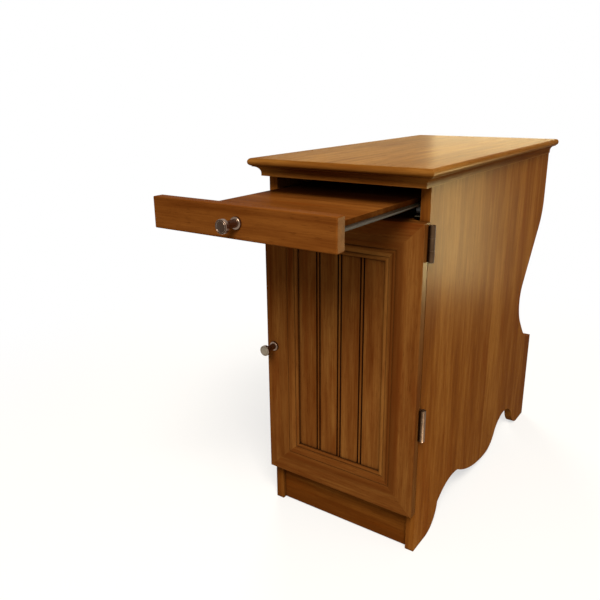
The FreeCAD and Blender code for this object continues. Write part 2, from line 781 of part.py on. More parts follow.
def build_brackets() -> None:
    """Angle brackets below the panel that hold the front, with a screw in each leg."""
    brackets = []
    screws = []
    for x in (-bracket_inset, bracket_inset):
        x0 = x - bracket_width / 2
        x1 = x + bracket_width / 2
        flat = box(x0, x1, tray_back_y, tray_back_y + bracket_leg, tray_panel_z - bracket_sheet, tray_panel_z)
        upright = box(x0, x1, tray_back_y, tray_back_y + bracket_sheet,
                      tray_panel_z - bracket_drop, tray_panel_z)
        nodes["bracket"] = flat.fuse(upright).removeSplitter()
        seat_y = (tray_back_y + bracket_sheet + tray_back_y + bracket_leg) / 2
        seat_z = tray_panel_z - (bracket_drop + bracket_sheet + bracket_screw.head_height) / 2
        up_seat = vec(x, seat_y, tray_panel_z - bracket_sheet)
        front_seat = vec(x, tray_back_y + bracket_sheet, seat_z)
        screws += fasten(bracket_screw, [up_seat], Z, "bracket", "tray_panel")
        screws += fasten(bracket_screw, [front_seat], -Y, "bracket", "tray_front")
        brackets.append(nodes.pop("bracket"))
    group("tray_brackets", brackets)
    group("tray_bracket_screws", screws)


# Tray runners: a channel on the cabinet with a front roller, a rail on the tray with a rear roller

rail_x = tray_half_width + runner_sheet
channel_x = inner_x - runner_sheet
rail_top = tray_panel_z + runner_rise
track_z = rail_top - runner_sheet
channel_top = track_z - run_clearance
front_roller_z = track_z - run_clearance - roller_radius
rear_roller_z = channel_top - runner_sheet - run_clearance - roller_radius
channel_floor = rear_roller_z - roller_radius - run_clearance
front_roller_y = runner_setback + runner_end
rear_roller_y = runner_setback + runner_length - runner_end - stop_thickness - roller_radius - tray_travel
roller_x = (rail_x + channel_x - roller_width) / 2


def axle(web_x: float, y: float, z: float, way: int) -> Part.Shape:
    """A shouldered rivet from a web, through its roller, with a head on the far side."""
    near = roller_x - roller_side_gap
    far = roller_x + roller_width + roller_side_gap
    if way < 0:
        near, far = far, near
    direction = X * way
    shoulder = rod(axle_head_radius, vec(web_x, y, z), direction, abs(near - web_x))
    stem = rod(axle_radius, vec(web_x, y, z), direction, abs(far - web_x))
    head = rod(axle_head_radius, vec(far, y, z), direction, axle_head_height)
    return shoulder.fuse([stem, head])


def build_channel() -> None:
    """The cabinet's channel with its front axle and a stop at each end of the rear roller's run."""
    y0 = runner_setback
    y1 = runner_setback + runner_length
    clear_y = front_roller_y + roller_radius + runner_end / 2
    web = box(channel_x, inner_x, y0, y1, channel_floor - runner_sheet, channel_top)
    lower = box(channel_x - runner_lower_flange, channel_x, y0, y1,
                channel_floor - runner_sheet, channel_floor)
    upper = box(channel_x - runner_upper_flange, channel_x, clear_y, y1,
                channel_top - runner_sheet, channel_top)
    out_stop = rear_roller_y - roller_radius - run_clearance - stop_thickness
    in_stop = rear_roller_y + tray_travel + roller_radius + run_clearance
    stops = [box(channel_x - stop_reach, channel_x, y, y + stop_thickness, channel_floor, rear_roller_z)
             for y in (out_stop, in_stop)]
    rivet = axle(channel_x, front_roller_y, front_roller_z, -1)
    nodes["runner_channel_right"] = web.fuse([lower, upper, rivet] + stops).removeSplitter()
    nodes["runner_channel_left"] = mirrored(nodes["runner_channel_right"])


def build_rail() -> None:
    """The tray's rail: a foot under the panel, a web at its edge, a running flange and a rear axle."""
    y0 = tray_back_y + runner_setback
    y1 = rear_roller_y + runner_end
    drop_z = rear_roller_z - axle_head_radius
    foot = box(tray_half_width - runner_foot, rail_x, y0, y1, tray_panel_z - runner_sheet, tray_panel_z)
    web = box(tray_half_width, rail_x, y0, y1, tray_panel_z - runner_sheet, rail_top)
    flange = box(rail_x, channel_x - runner_edge_gap, y0, y1, track_z, rail_top)
    tab = box(tray_half_width, rail_x, rear_roller_y - runner_end, y1, drop_z, tray_panel_z)
    rivet = axle(rail_x, rear_roller_y, rear_roller_z, 1)
    nodes["runner_rail_right"] = foot.fuse([web, flange, tab, rivet]).removeSplitter()
    nodes["runner_rail_left"] = mirrored(nodes["runner_rail_right"])


def build_rollers() -> None:
    """Four rollers on their axles."""
    for word, y, z in (("front", front_roller_y, front_roller_z), ("rear", rear_roller_y, rear_roller_z)):
        wheel = rod(roller_radius, vec(roller_x, y, z), X, roller_width)
        bore = rod(axle_radius + fit_clearance, vec(roller_x - cut_overrun, y, z), X,
                   roller_width + 2 * cut_overrun)
        roller = wheel.cut(bore)
        nodes[word + "_roller_right"] = roller
        nodes[word + "_roller_left"] = mirrored(roller)


channel_screw_shares = (0.28, 0.62, 0.90)
rail_screw_shares = (0.10, 0.50, 0.85)


def build_runner_screws() -> None:
    """Screws of the channels into the side panels and of the rails up into the tray panel."""
    channel_screws = []
    rail_screws = []
    rail_length = rear_roller_y + runner_end - tray_back_y - runner_setback
    rail_x_middle = tray_half_width - runner_foot / 2
    for word, sign in (("right", 1), ("left", -1)):
        seats = [vec(sign * channel_x, runner_setback + share * runner_length, rear_roller_z)
                 for share in channel_screw_shares]
        channel_screws += fasten(runner_screw, seats, X * sign,
                                 "runner_channel_" + word, "side_panel_" + word)
        seats = [vec(sign * rail_x_middle, tray_back_y + runner_setback + share * rail_length,
                     tray_panel_z - runner_sheet) for share in rail_screw_shares]
        rail_screws += fasten(tray_screw, seats, Z, "runner_rail_" + word, "tray_panel")
    group("runner_channel_screws", channel_screws)
    group("runner_rail_screws", rail_screws)


# Dowels and cam fittings that hold the boards together

board_dowel_shares = (0.12, 0.88)
back_dowel_shares = (0.08, 0.50, 0.95)
kick_dowel_shares = (0.30, 0.80)
rack_dowel_shares = (0.22, 0.78)
top_dowel_shares = (0.06, 0.50, 0.94)
tray_dowel_shares = (-0.80, 0.80)
board_cam_shares = (0.30, 0.70)
top_cam_shares = (0.20, 0.70)


def dowel(at: FreeCAD.Vector, axis: FreeCAD.Vector, deep: str, shallow: str) -> Part.Shape:
    """A dowel across a joint, its longer end along the axis in one piece, its short end in the other."""
    long_end = dowel_length - dowel_side_depth
    drill(deep, at, axis, dowel_radius + fit_clearance, long_end + dowel_spare)
    drill(shallow, at, -axis, dowel_radius + fit_clearance, dowel_side_depth + dowel_spare)
    return rod(dowel_radius, at - axis * dowel_side_depth, axis, dowel_length)


def between(low: float, high: float, shares: tuple) -> list:
    """Places at shares of the way from one value to another."""
    return [low + (high - low) * share for share in shares]


def board_joints() -> dict:
    """For each board, the (y, z) places of its dowels at both ends."""
    floor_mid = plinth_height + bottom_thickness / 2
    divider_mid = divider_z + divider_thickness / 2
    back_mid = back_y + back_thickness / 2
    kick_mid = kick_setback + kick_thickness / 2
    rack_floor_mid = plinth_height + rack_floor_thickness / 2
    rack_mid = rack_panel_y + rack_panel_thickness / 2
    rack_top = plinth_height + rack_panel_height
    pocket_y = back_y + back_thickness
    return {
        "bottom_panel": [(y, floor_mid) for y in between(0, back_y, board_dowel_shares)],
        "divider_panel": [(y, divider_mid) for y in between(0, back_y, board_dowel_shares)],
        "back_panel": [(back_mid, z) for z in between(plinth_height, top_z, back_dowel_shares)],
        "toe_kick": [(kick_mid, z) for z in between(kick_floor_gap, plinth_height, kick_dowel_shares)],
        "rack_floor": [(y, rack_floor_mid) for y in between(pocket_y, rack_panel_y, rack_dowel_shares)],
        "rack_panel": [(rack_mid, z) for z in between(plinth_height, rack_top, rack_dowel_shares)],
    }


def build_dowels() -> None:
    """Dowels from the boards and the top into the side panels, and from the tray's front to its panel."""
    pegs = []
    sides = (("side_panel_right", 1), ("side_panel_left", -1))
    for board, places in board_joints().items():
        for y, z in places:
            pegs += [dowel(vec(sign * inner_x, y, z), X * -sign, board, side) for side, sign in sides]
    side_mid = inner_x + side_thickness / 2
    for y in between(0, carcass_depth, top_dowel_shares):
        pegs += [dowel(vec(sign * side_mid, y, top_z), -Z, side, "top_board") for side, sign in sides]
    group("wood_dowels", pegs)
    panel_mid = tray_panel_z + tray_panel_thickness / 2
    tray_places = [vec(share * tray_half_width, tray_back_y, panel_mid) for share in tray_dowel_shares]
    group("tray_dowels", [dowel(place, Y, "tray_panel", "tray_front") for place in tray_places])


def cam_fitting(at: FreeCAD.Vector, axis: FreeCAD.Vector, face: FreeCAD.Vector, half: float,
                board: str, holder: str) -> tuple:
    """A bolt from one piece into another and the cam in that board's face that draws it in."""
    middle = at + axis * cam_distance
    mouth = middle + face * half
    tunnel = cam_head_radius + fit_clearance
    drill(board, mouth, -face, cam_radius + fit_clearance, cam_height + dowel_spare)
    drill(board, at, axis, tunnel, cam_distance)
    drill(holder, at, -axis, cam_bolt_radius + fit_clearance, cam_bolt_thread + dowel_spare)
    cam = rod(cam_radius, mouth - face * cam_height, face, cam_height)
    cam = cam.cut(rod(tunnel, at, axis, cam_distance + cam_head_length / 2 + run_clearance))
    reach = cam_radius * cam_recess_share
    for turn in (0, 90):
        slot = box(-reach, reach, -cam_recess_width / 2, cam_recess_width / 2, -cam_recess_depth, cut_overrun)
        slot.rotate(vec(0, 0, 0), Z, turn)
        slot.Placement = FreeCAD.Placement(mouth, FreeCAD.Rotation(Z, face)).multiply(slot.Placement)
        cam = cam.cut(slot)
    stem = rod(cam_bolt_radius, at - axis * cam_bolt_thread, axis, cam_bolt_thread + cam_distance)
    head = rod(cam_head_radius, middle - axis * (cam_head_length / 2), axis, cam_head_length)
    return cam, stem.fuse(head).removeSplitter()


def build_cams() -> None:
    """Cam fittings of the bottom and the divider into the sides, and of the sides up to the top."""
    fittings = []
    half_side = side_thickness / 2
    for side, sign in (("side_panel_right", 1), ("side_panel_left", -1)):
        for board, z, thickness in (("bottom_panel", plinth_height, bottom_thickness),
                                    ("divider_panel", divider_z, divider_thickness)):
            for y in between(0, back_y, board_cam_shares):
                at = vec(sign * inner_x, y, z + thickness / 2)
                fittings.append(cam_fitting(at, X * -sign, -Z, thickness / 2, board, side))
        for y in between(0, carcass_depth, top_cam_shares):
            at = vec(sign * (inner_x + half_side), y, top_z)
            fittings.append(cam_fitting(at, -Z, X * -sign, half_side, side, "top_board"))
    group("cam_locks", [cam for cam, bolt in fittings])
    group("cam_bolts", [bolt for cam, bolt in fittings])


def write_parts() -> None:
    """Moves every piece to the part's origin and writes one file for each node."""
    os.makedirs("parts", exist_ok=True)
    for name, shape in nodes.items():
        shape.translate(vec(0, -origin_y, 0))
        shape.exportStep(os.path.join("parts", name + ".step"))
        print(name, len(shape.Solids), shape.isValid(), round(shape.Volume))


build_sides()
build_top()
build_moulding()
build_boards()
build_shelf_pins()
build_door()
build_hinges()
build_catch()
build_tray()
build_knobs()
build_brackets()
build_channel()
build_rail()
build_rollers()
build_runner_screws()
build_dowels()
build_cams()
write_parts()
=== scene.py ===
import json
import logging
import math
from dataclasses import dataclass, field, replace
from enum import Enum
from typing import Any, Callable, Optional

import bmesh
import bpy
from mathutils import Matrix, Vector

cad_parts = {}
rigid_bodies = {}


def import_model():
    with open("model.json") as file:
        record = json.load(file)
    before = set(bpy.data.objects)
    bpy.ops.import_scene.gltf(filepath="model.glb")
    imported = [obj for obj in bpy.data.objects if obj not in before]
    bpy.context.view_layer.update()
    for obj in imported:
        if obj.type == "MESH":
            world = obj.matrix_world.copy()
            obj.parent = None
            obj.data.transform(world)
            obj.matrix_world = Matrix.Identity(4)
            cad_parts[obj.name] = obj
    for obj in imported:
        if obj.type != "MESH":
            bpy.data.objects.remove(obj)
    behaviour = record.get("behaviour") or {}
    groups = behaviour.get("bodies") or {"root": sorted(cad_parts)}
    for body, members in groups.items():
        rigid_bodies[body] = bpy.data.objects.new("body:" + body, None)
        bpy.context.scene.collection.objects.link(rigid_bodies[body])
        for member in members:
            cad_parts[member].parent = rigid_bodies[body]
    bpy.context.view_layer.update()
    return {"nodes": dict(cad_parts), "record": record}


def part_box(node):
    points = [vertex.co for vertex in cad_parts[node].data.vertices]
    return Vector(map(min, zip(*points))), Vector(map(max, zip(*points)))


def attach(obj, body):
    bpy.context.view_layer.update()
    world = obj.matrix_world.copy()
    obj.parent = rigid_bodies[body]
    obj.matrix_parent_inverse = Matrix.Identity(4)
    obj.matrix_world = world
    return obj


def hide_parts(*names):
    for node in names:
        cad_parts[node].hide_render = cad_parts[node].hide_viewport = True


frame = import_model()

# Narrow chairside table with a door, a pull-out tray and a magazine pocket: its looks.
# Metres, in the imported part's frame: X across, -Y to the front, +Z up, floor at zero.

MM = 0.001
MERGE = 0.01 * MM
FLAT_ANGLE = math.radians(0.6)
SHARP_ANGLE = math.radians(34)
QUARTER_TURN = math.pi / 2
FULL_TURN = 2 * math.pi
DIAGONAL = math.sqrt(0.5)
EASE_STEPS = 2
EVEN_WEIGHT = 100
WHITE = (1.0, 1.0, 1.0, 1.0)

log = logging.getLogger("side_table")
Triple = tuple[float, float, float]
Colour = Triple
Point2 = tuple[float, float]
Mesh = bmesh.types.BMesh
Edge = bmesh.types.BMEdge
Material = bpy.types.Material
NO_TURN: Triple = (0.0, 0.0, 0.0)
NO_STRETCH: Triple = (1.0, 1.0, 1.0)


class Grain(Enum):
    """The way that the wood's fibres run, with the turn that lays an upright pattern along it."""

    ACROSS = (0.0, QUARTER_TURN, 0.0)
    DEEP = (QUARTER_TURN, 0.0, 0.0)
    UPRIGHT = NO_TURN


class Side(Enum):
    """The two sides of the table, with the sign of their X."""

    LEFT = -1
    RIGHT = 1

    @property
    def word(self) -> str:
        """The side's name as the nodes write it."""
        return self.name.lower()


class Reach(Enum):
    """What a lamp adds to a surface."""

    FULL = "matt light and highlights"
    SHEEN = "highlights only"
    MATT = "matt light only"


# Shader maths

def operator(operation: str, turned: bool = False) -> Callable[..., "Shade"]:
    """A method that puts a shade and another value into a Math node.

    Args:
        operation: what the node does.
        turned: whether the other value comes first.

    Returns:
        The method.
    """
    def method(shade: "Shade", other: Any = 0.0) -> "Shade":
        """The node's value."""
        first, second = (other, shade) if turned else (shade, other)
        return shade.graph.make("Math", {0: first, 1: second}, operation=operation)
    return method


class Shade:
    """A socket of a node tree; arithmetic on it adds Math nodes."""

    def __init__(self, graph: "Graph", socket: Optional[bpy.types.NodeSocket]) -> None:
        """Keeps the tree and the socket that carries the value."""
        self.graph = graph
        self.socket = socket

    __add__, __radd__ = operator("ADD"), operator("ADD", True)
    __sub__, __rsub__ = operator("SUBTRACT"), operator("SUBTRACT", True)
    __mul__, __abs__, least = operator("MULTIPLY"), operator("ABSOLUTE"), operator("MINIMUM")

    def ramp(self, low: float, high: float) -> "Shade":
        """Zero at the low value and one at the high one, eased between them."""
        return self.graph.make("MapRange", {"Value": self, "From Min": low, "From Max": high},
                               interpolation_type="SMOOTHSTEP", clamp=True)


@dataclass(frozen=True)
class Cloud:
    """A noise pattern: its fineness per metre, its finer layers, their strength, and its share of a tone."""

    scale: float
    detail: float
    rough: float
    share: float = 0.0


class Graph:
    """The node tree of a material or a world."""

    edge_samples: int = 6
    edge_span: Point2 = (0.02, 0.25)
    hollow_samples: int = 8
    layer_rise: float = 1 / 3
    layer_fall: float = 1 / 9
    mix_in: tuple[int, ...] = (0, 6, 7)
    mix_out: int = 2

    def __init__(self, owner: Any) -> None:
        """Starts an empty tree.

        Args:
            owner: the new material or world.
        """
        self.owner = owner
        owner.use_nodes = True
        self.tree = owner.node_tree
        self.tree.nodes.clear()

    def make(self, kind: str, sockets: dict[Any, Any], output: Any = 0, **settings: Any) -> Shade:
        """Adds a node.

        Args:
            kind: the node's type.
            sockets: a value or a link for each input that is named or numbered.
            output: the name or number of the output in use, if the node has any.
            settings: its own settings, set first.

        Returns:
            The output in use.
        """
        node = self.tree.nodes.new(f"ShaderNode{kind}")
        for name, value in settings.items():
            setattr(node, name, value)
        for key, value in sockets.items():
            if isinstance(value, Shade):
                self.tree.links.new(value.socket, node.inputs[key])
            else:
                node.inputs[key].default_value = value
        return Shade(self, node.outputs[output] if node.outputs else None)

    def place(self) -> Shade:
        """Object coordinates."""
        return self.make("TexCoord", {}, "Object")

    def axis(self, letter: str) -> Shade:
        """The object coordinate along one axis."""
        return self.make("SeparateXYZ", {0: self.place()}, letter)

    def coordinates(self, turn: Triple, stretch: Triple, shift: Triple) -> Shade:
        """Object coordinates, turned by angles about the three axes and shifted, then stretched."""
        turned = self.make("Mapping", {"Vector": self.place(), "Rotation": turn, "Location": shift})
        return self.make("Mapping", {"Vector": turned, "Scale": stretch})

    def noise(self, vector: Shade, cloud: Cloud) -> Shade:
        """A cloud pattern, about 0 to 1."""
        return self.make("TexNoise", {"Vector": vector, "Scale": cloud.scale, "Detail": cloud.detail,
                                      "Roughness": cloud.rough}, "Fac")

    def colours(self, factor: Shade, stops: list[tuple[float, Colour]]) -> Shade:
        """A colour ramp on a value.

        Args:
            factor: the value.
            stops: place and colour of each stop.

        Returns:
            The colour.
        """
        ramp = self.make("ValToRGB", {"Fac": factor})
        elements = ramp.socket.node.color_ramp.elements
        while len(elements) < len(stops):
            elements.new(1.0)
        for element, (place, colour) in zip(elements, stops):
            element.position = place
            element.color = (*colour, 1.0)
        return ramp

    def blend(self, factor: Shade, first: Any, second: Any) -> Shade:
        """Mixes two plain or made colours; the factor is the second one's share."""
        one, two = ((*part, 1.0) if isinstance(part, tuple) else part for part in (first, second))
        return self.make("Mix", dict(zip(self.mix_in, (factor, one, two))), self.mix_out, data_type="RGBA")

    def edges(self, reach: float) -> Shade:
        """One on outer edges, in a band as wide as the reach, and zero on flats.

        Args:
            reach: how wide the band along an edge is.

        Returns:
            The share of the edge.
        """
        rounded = self.make("Bevel", {"Radius": reach}, samples=self.edge_samples)
        plain = self.make("NewGeometry", {}, "Normal")
        turn = self.make("VectorMath", {0: rounded, 1: plain}, "Value", operation="DOT_PRODUCT")
        return (1.0 - turn).ramp(*self.edge_span)

    def hollows(self, reach: float, span: Point2 = (0.25, 0.95)) -> Shade:
        """One in hollows whose walls lie within reach and zero in the open, over a span of shades."""
        node = self.make("AmbientOcclusion", {"Distance": reach}, "AO", samples=self.hollow_samples)
        return (1.0 - node).ramp(*span)

    def behind(self, start: float, end: float) -> Shade:
        """One between two values of Y, behind a front face, and zero in front of them and behind them."""
        depth, rise, fall = self.axis("Y"), (end - start) * self.layer_rise, (end - start) * self.layer_fall
        return depth.ramp(start, start + rise) * (1.0 - depth.ramp(end - fall, end))

    def bump(self, height: Shade, depth: float) -> Shade:
        """The normal of a relief from 0 to 1 that is so many metres deep."""
        return self.make("Bump", {"Strength": 1.0, "Distance": depth, "Height": height})

    def end_in(self, shader: Shade, kind: str = "OutputMaterial") -> Any:
        """Ends the tree in a shader and gives the material or the world back."""
        self.make(kind, {"Surface": shader})
        return self.owner

    def finish(self, sockets: dict[str, Any]) -> Material:
        """Ends a material's tree in a Principled shader with these inputs."""
        return self.end_in(self.make("BsdfPrincipled", sockets))


def spread(seed: int, reach: float = 3.0) -> Triple:
    """Three steady numbers up to a reach, to give each piece its own stretch of a pattern."""
    golden = (math.sqrt(5.0) - 1.0) / 2.0
    return tuple(reach * ((seed + 1) * (index + 2) * golden % 1.0) for index in range(3))


# Finishes

@dataclass(frozen=True)
class Band:
    """A band of painted shade round an upright frame's face, between two distances from its outer edge,
    standing in for the shade on the frame's sloped profile.
    """

    centre: Point2
    half: Point2
    depth: Point2
    share: float
    # colour of the painted shade
    colour: Colour = (0.100, 0.026, 0.004)
    start: Point2 = (25.0 * MM, 33.0 * MM)
    end: Point2 = (47.5 * MM, 50.0 * MM)
    mitre: float = 2.5 * MM

    def shades(self, graph: Graph) -> tuple[Shade, Shade]:
        """Where the band lies, and where the frame's mitres do not.

        Args:
            graph: the tree that gets the nodes.

        Returns:
            The band's share, and zero on the mitres with one away from them.
        """
        across = self.half[0] - abs(graph.axis("X") - self.centre[0])
        upward = self.half[1] - abs(graph.axis("Z") - self.centre[1])
        inward = across.least(upward)
        front = 1.0 - graph.axis("Y").ramp(*self.depth)
        # painted shade: the band's share of the darker colour, on the front half only
        band = inward.ramp(*self.start) * (1.0 - inward.ramp(*self.end)) * front * self.share
        return band, abs(across - upward).ramp(0.0, self.mitre)


@dataclass(frozen=True)
class WoodFinish:
    """A satin oak grain: broad boards, bands, fine streaks, short pores and reddish flames, with painted
    shade in its hollows and wear with painted highlights on its edges.
    """

    name: str
    dark: Colour
    middle: Colour
    light: Colour
    red: Colour
    pore: Colour
    # painted shade: a darker colour in hollows, corners and gaps, from ambient occlusion
    glaze: Colour
    glaze_share: float = 0.80
    glaze_reach: float = 7.0 * MM
    glaze_span: Point2 = (0.25, 0.95)
    red_share: float = 0.65
    # wear with painted highlights along the edges
    wear_reach: float = 1.0 * MM
    wear_share: float = 0.30
    wear_polish: float = 0.05
    roughness: float = 0.27
    gloss: float = 0.0005
    fibre_stretch: float = 0.03
    flame_stretch: float = 0.13
    pore_stretch: float = 0.055
    leaf: Cloud = Cloud(12.0, 2.0, 0.5, 0.18)
    leaf_span: Point2 = (0.25, 0.75)
    band: Cloud = Cloud(85.0, 3.0, 0.55, 0.22)
    drift: Cloud = Cloud(95.0, 4.0, 0.65, 0.22)
    streak: Cloud = Cloud(420.0, 3.0, 0.6, 0.22)
    streak_rough: float = 0.12
    fibre: Cloud = Cloud(1700.0, 2.0, 0.6, 0.10)
    pores: Cloud = Cloud(1100.0, 1.0, 0.5, 0.45)
    pore_span: Point2 = (0.60, 0.72)
    pore_rough: float = 0.1
    blush: Cloud = Cloud(31.0, 3.0, 0.6)
    blush_span: Point2 = (0.50, 0.72)
    flame_share: float = 0.04
    tone_base: float = 0.05
    tone_stops: Triple = (0.40, 0.53, 0.67)
    relief_shares: Triple = (0.5, 0.3, 0.5)
    relief_depth: float = 0.05 * MM

    def material(self, grain: Grain, seed: int, lift: float = 0.0, painted_groove_shade: Optional[Point2] = None,
                 painted_shade_band: Optional[Band] = None) -> Material:
        """The finish for one piece.

        Args:
            grain: the way of its fibres.
            seed: its number, which picks its stretch of the pattern.
            lift: how much lighter its colour is made than the others'; below zero, darker.
            painted_groove_shade: Y where painted shade in its grooves starts and ends behind its face, if it
                has them.
            painted_shade_band: the band of painted shade on its frame, if it has one.

        Returns:
            The material.
        """
        graph = Graph(bpy.data.materials.new(f"{self.name}_{grain.name.lower()}_{seed}"))
        fibres, flames, ticks = (
            graph.coordinates(grain.value, (1.0, 1.0, stretch), spread(seed))
            for stretch in (self.fibre_stretch, self.flame_stretch, self.pore_stretch))
        leaf = graph.noise(flames, self.leaf).ramp(*self.leaf_span)
        band, drift = graph.noise(flames, self.band), graph.noise(fibres, self.drift)
        streak, fibre = graph.noise(fibres, self.streak), graph.noise(fibres, self.fibre)
        pore = graph.noise(ticks, self.pores).ramp(*self.pore_span)
        flame = graph.make("TexWave", {"Vector": flames, "Scale": 16.0, "Distortion": 7.0, "Detail": 3.0,
                                       "Detail Scale": 1.2, "Detail Roughness": 0.55}, "Fac",
                           wave_type="BANDS", bands_direction="X")
        tone = (leaf * self.leaf.share + band * self.band.share + drift * self.drift.share
                + streak * self.streak.share + fibre * self.fibre.share
                + flame * self.flame_share + (lift + self.tone_base))

        colour = graph.colours(tone, list(zip(self.tone_stops, (self.dark, self.middle, self.light))))
        blush = graph.noise(flames, self.blush).ramp(*self.blush_span)
        colour = graph.blend(blush * self.red_share, colour, self.red)
        colour = graph.blend(pore * self.pores.share, colour, self.pore)
        # edge wear with painted highlights, in the light colour
        worn = graph.edges(self.wear_reach)
        # painted shade of the frame's band; wear and highlights kept off the mitres
        if painted_shade_band is not None:
            painted_band_shade, off_mitre = painted_shade_band.shades(graph)
            colour = graph.blend(painted_band_shade, colour, painted_shade_band.colour)
            worn = worn * off_mitre
        colour = graph.blend(worn * self.wear_share, colour, self.light)
        # painted shade in hollows, corners and the gaps between pieces
        sunk = graph.hollows(self.glaze_reach, self.glaze_span)
        colour = graph.blend(sunk * self.glaze_share, colour, self.glaze)
        # painted shade in the panel's grooves, from its face to the grooves' depth
        if painted_groove_shade is not None:
            colour = graph.blend(graph.behind(*painted_groove_shade) * self.glaze_share, colour, self.glaze)

        rough = (self.roughness + streak * self.streak_rough - worn * self.wear_polish
                 + pore * self.pore_rough)
        streaks, bands, pits = self.relief_shares
        relief = streak * streaks + band * bands - pore * pits
        return graph.finish({"Base Color": colour, "Roughness": rough, "Specular IOR Level": self.gloss,
                             "Normal": graph.bump(relief, self.relief_depth)})


@dataclass(frozen=True)
class MetalFinish:
    """A drawn or turned metal with rubbed edges that carry painted highlights and a darker patina in its
    hollows.
    """

    name: str
    base: Colour
    worn: Colour
    patina: Colour
    roughness: float
    brush: Triple
    line: Cloud = Cloud(900.0, 3.0, 0.6, 0.08)
    cloud: Cloud = Cloud(70.0, 4.0, 0.55, 0.16)
    cloud_span: Point2 = (0.35, 0.75)
    cloud_tint: float = 0.5
    patina_reach: float = 4.0 * MM
    patina_share: float = 0.8
    # rubbed edges with painted highlights
    wear_reach: float = 0.5 * MM
    wear_share: float = 0.7
    wear_polish: float = 0.08
    relief_depth: float = 0.012 * MM

    def material(self, seed: int) -> Material:
        """The finish for one piece.

        Args:
            seed: its number.

        Returns:
            The material.
        """
        graph = Graph(bpy.data.materials.new(f"{self.name}_{seed}"))
        line = graph.noise(graph.coordinates(NO_TURN, self.brush, spread(seed)), self.line)
        cloud = graph.noise(graph.coordinates(NO_TURN, NO_STRETCH, spread(seed)), self.cloud)
        colour = graph.blend(cloud.ramp(*self.cloud_span) * self.cloud_tint, self.base, self.patina)
        colour = graph.blend(graph.hollows(self.patina_reach) * self.patina_share, colour, self.patina)
        # rubbed edges with painted highlights
        worn = graph.edges(self.wear_reach)
        colour = graph.blend(worn * self.wear_share, colour, self.worn)
        rough = self.roughness + cloud * self.cloud.share + line * self.line.share - worn * self.wear_polish
        return graph.finish({"Base Color": colour, "Metallic": 1.0, "Roughness": rough,
                             "Normal": graph.bump(line, self.relief_depth)})


@dataclass(frozen=True)
class MouldedFinish:
    """A moulded plastic, rubber or ferrite with a fine mottled skin."""

    name: str
    base: Colour
    mottle: Colour
    roughness: float
    skin: Cloud = Cloud(1800.0, 3.0, 0.6, 0.15)
    cloud: Cloud = Cloud(120.0, 3.0, 0.5)
    cloud_span: Point2 = (0.3, 0.75)
    hollow_reach: float = 3.0 * MM
    hollow_share: float = 0.5
    relief_depth: float = 0.02 * MM

    def material(self, seed: int) -> Material:
        """The finish for one piece.

        Args:
            seed: its number.

        Returns:
            The material.
        """
        graph = Graph(bpy.data.materials.new(f"{self.name}_{seed}"))
        plain = graph.coordinates(NO_TURN, NO_STRETCH, spread(seed))
        skin, cloud = graph.noise(plain, self.skin), graph.noise(plain, self.cloud)
        colour = graph.blend(cloud.ramp(*self.cloud_span), self.base, self.mottle)
        colour = graph.blend(graph.hollows(self.hollow_reach) * self.hollow_share, colour, self.mottle)
        return graph.finish({"Base Color": colour, "Roughness": self.roughness + skin * self.skin.share,
                             "Normal": graph.bump(skin, self.relief_depth)})


# The boards' finish paints shade into their hollows and the gaps between them.
OAK_BOARD = WoodFinish("oak_board", dark=(0.108, 0.030, 0.004), middle=(0.170, 0.055, 0.008),
                       light=(0.254, 0.102, 0.019), red=(0.134, 0.032, 0.003), pore=(0.064, 0.017, 0.002),
                       glaze=(0.020, 0.005, 0.001), glaze_span=(0.16, 0.70))
OAK_MOULDING = replace(OAK_BOARD, name="oak_moulding", gloss=0.0002)
# Painted light: the top's finish is lighter and yellower than the boards', for the warm light over it.
OAK_TOP_PAINTED_LIGHT = replace(OAK_BOARD, name="oak_top", dark=(0.120, 0.037, 0.005), middle=(0.186, 0.069, 0.011),
                  light=(0.275, 0.119, 0.023), red=(0.146, 0.041, 0.005))
# Painted highlight: the moulding's lower edge, lighter along its edges than the boards.
OAK_PAINTED_HIGHLIGHT_EDGE = replace(OAK_BOARD, name="oak_edge", light=(0.400, 0.170, 0.034), wear_reach=2.5 * MM,
                   wear_share=0.75)
# The door's finish paints deep shade into its hollows and wide highlights along its beads, with their wear.
OAK_DOOR = WoodFinish("oak_door", dark=(0.106, 0.027, 0.004), middle=(0.174, 0.061, 0.012),
                      light=(0.262, 0.112, 0.025), red=(0.130, 0.029, 0.004), pore=(0.064, 0.015, 0.002),
                      glaze=(0.012, 0.003, 0.001), glaze_share=0.92, glaze_reach=3.0 * MM,
                      glaze_span=(0.14, 0.65), wear_reach=2.4 * MM, wear_share=0.55)
OAK_STILE = replace(OAK_DOOR, name="oak_stile", gloss=0.0009)
# The panel's finish paints a wide shade beside the frame's lip.
OAK_PANEL = replace(OAK_DOOR, name="oak_panel", glaze_reach=12.0 * MM, glaze_span=(0.05, 0.42))
OAK_TRAY = WoodFinish("oak_tray", dark=(0.078, 0.019, 0.002), middle=(0.120, 0.034, 0.005),
                      light=(0.182, 0.060, 0.010), red=(0.102, 0.022, 0.002), pore=(0.050, 0.012, 0.001),
                      glaze=(0.015, 0.004, 0.001))
BEECH = WoodFinish("beech", dark=(0.42, 0.27, 0.14), middle=(0.50, 0.34, 0.19), light=(0.60, 0.43, 0.26),
                   red=(0.46, 0.26, 0.13), pore=(0.30, 0.18, 0.09), glaze=(0.15, 0.08, 0.03), roughness=0.6,
                   gloss=0.3)
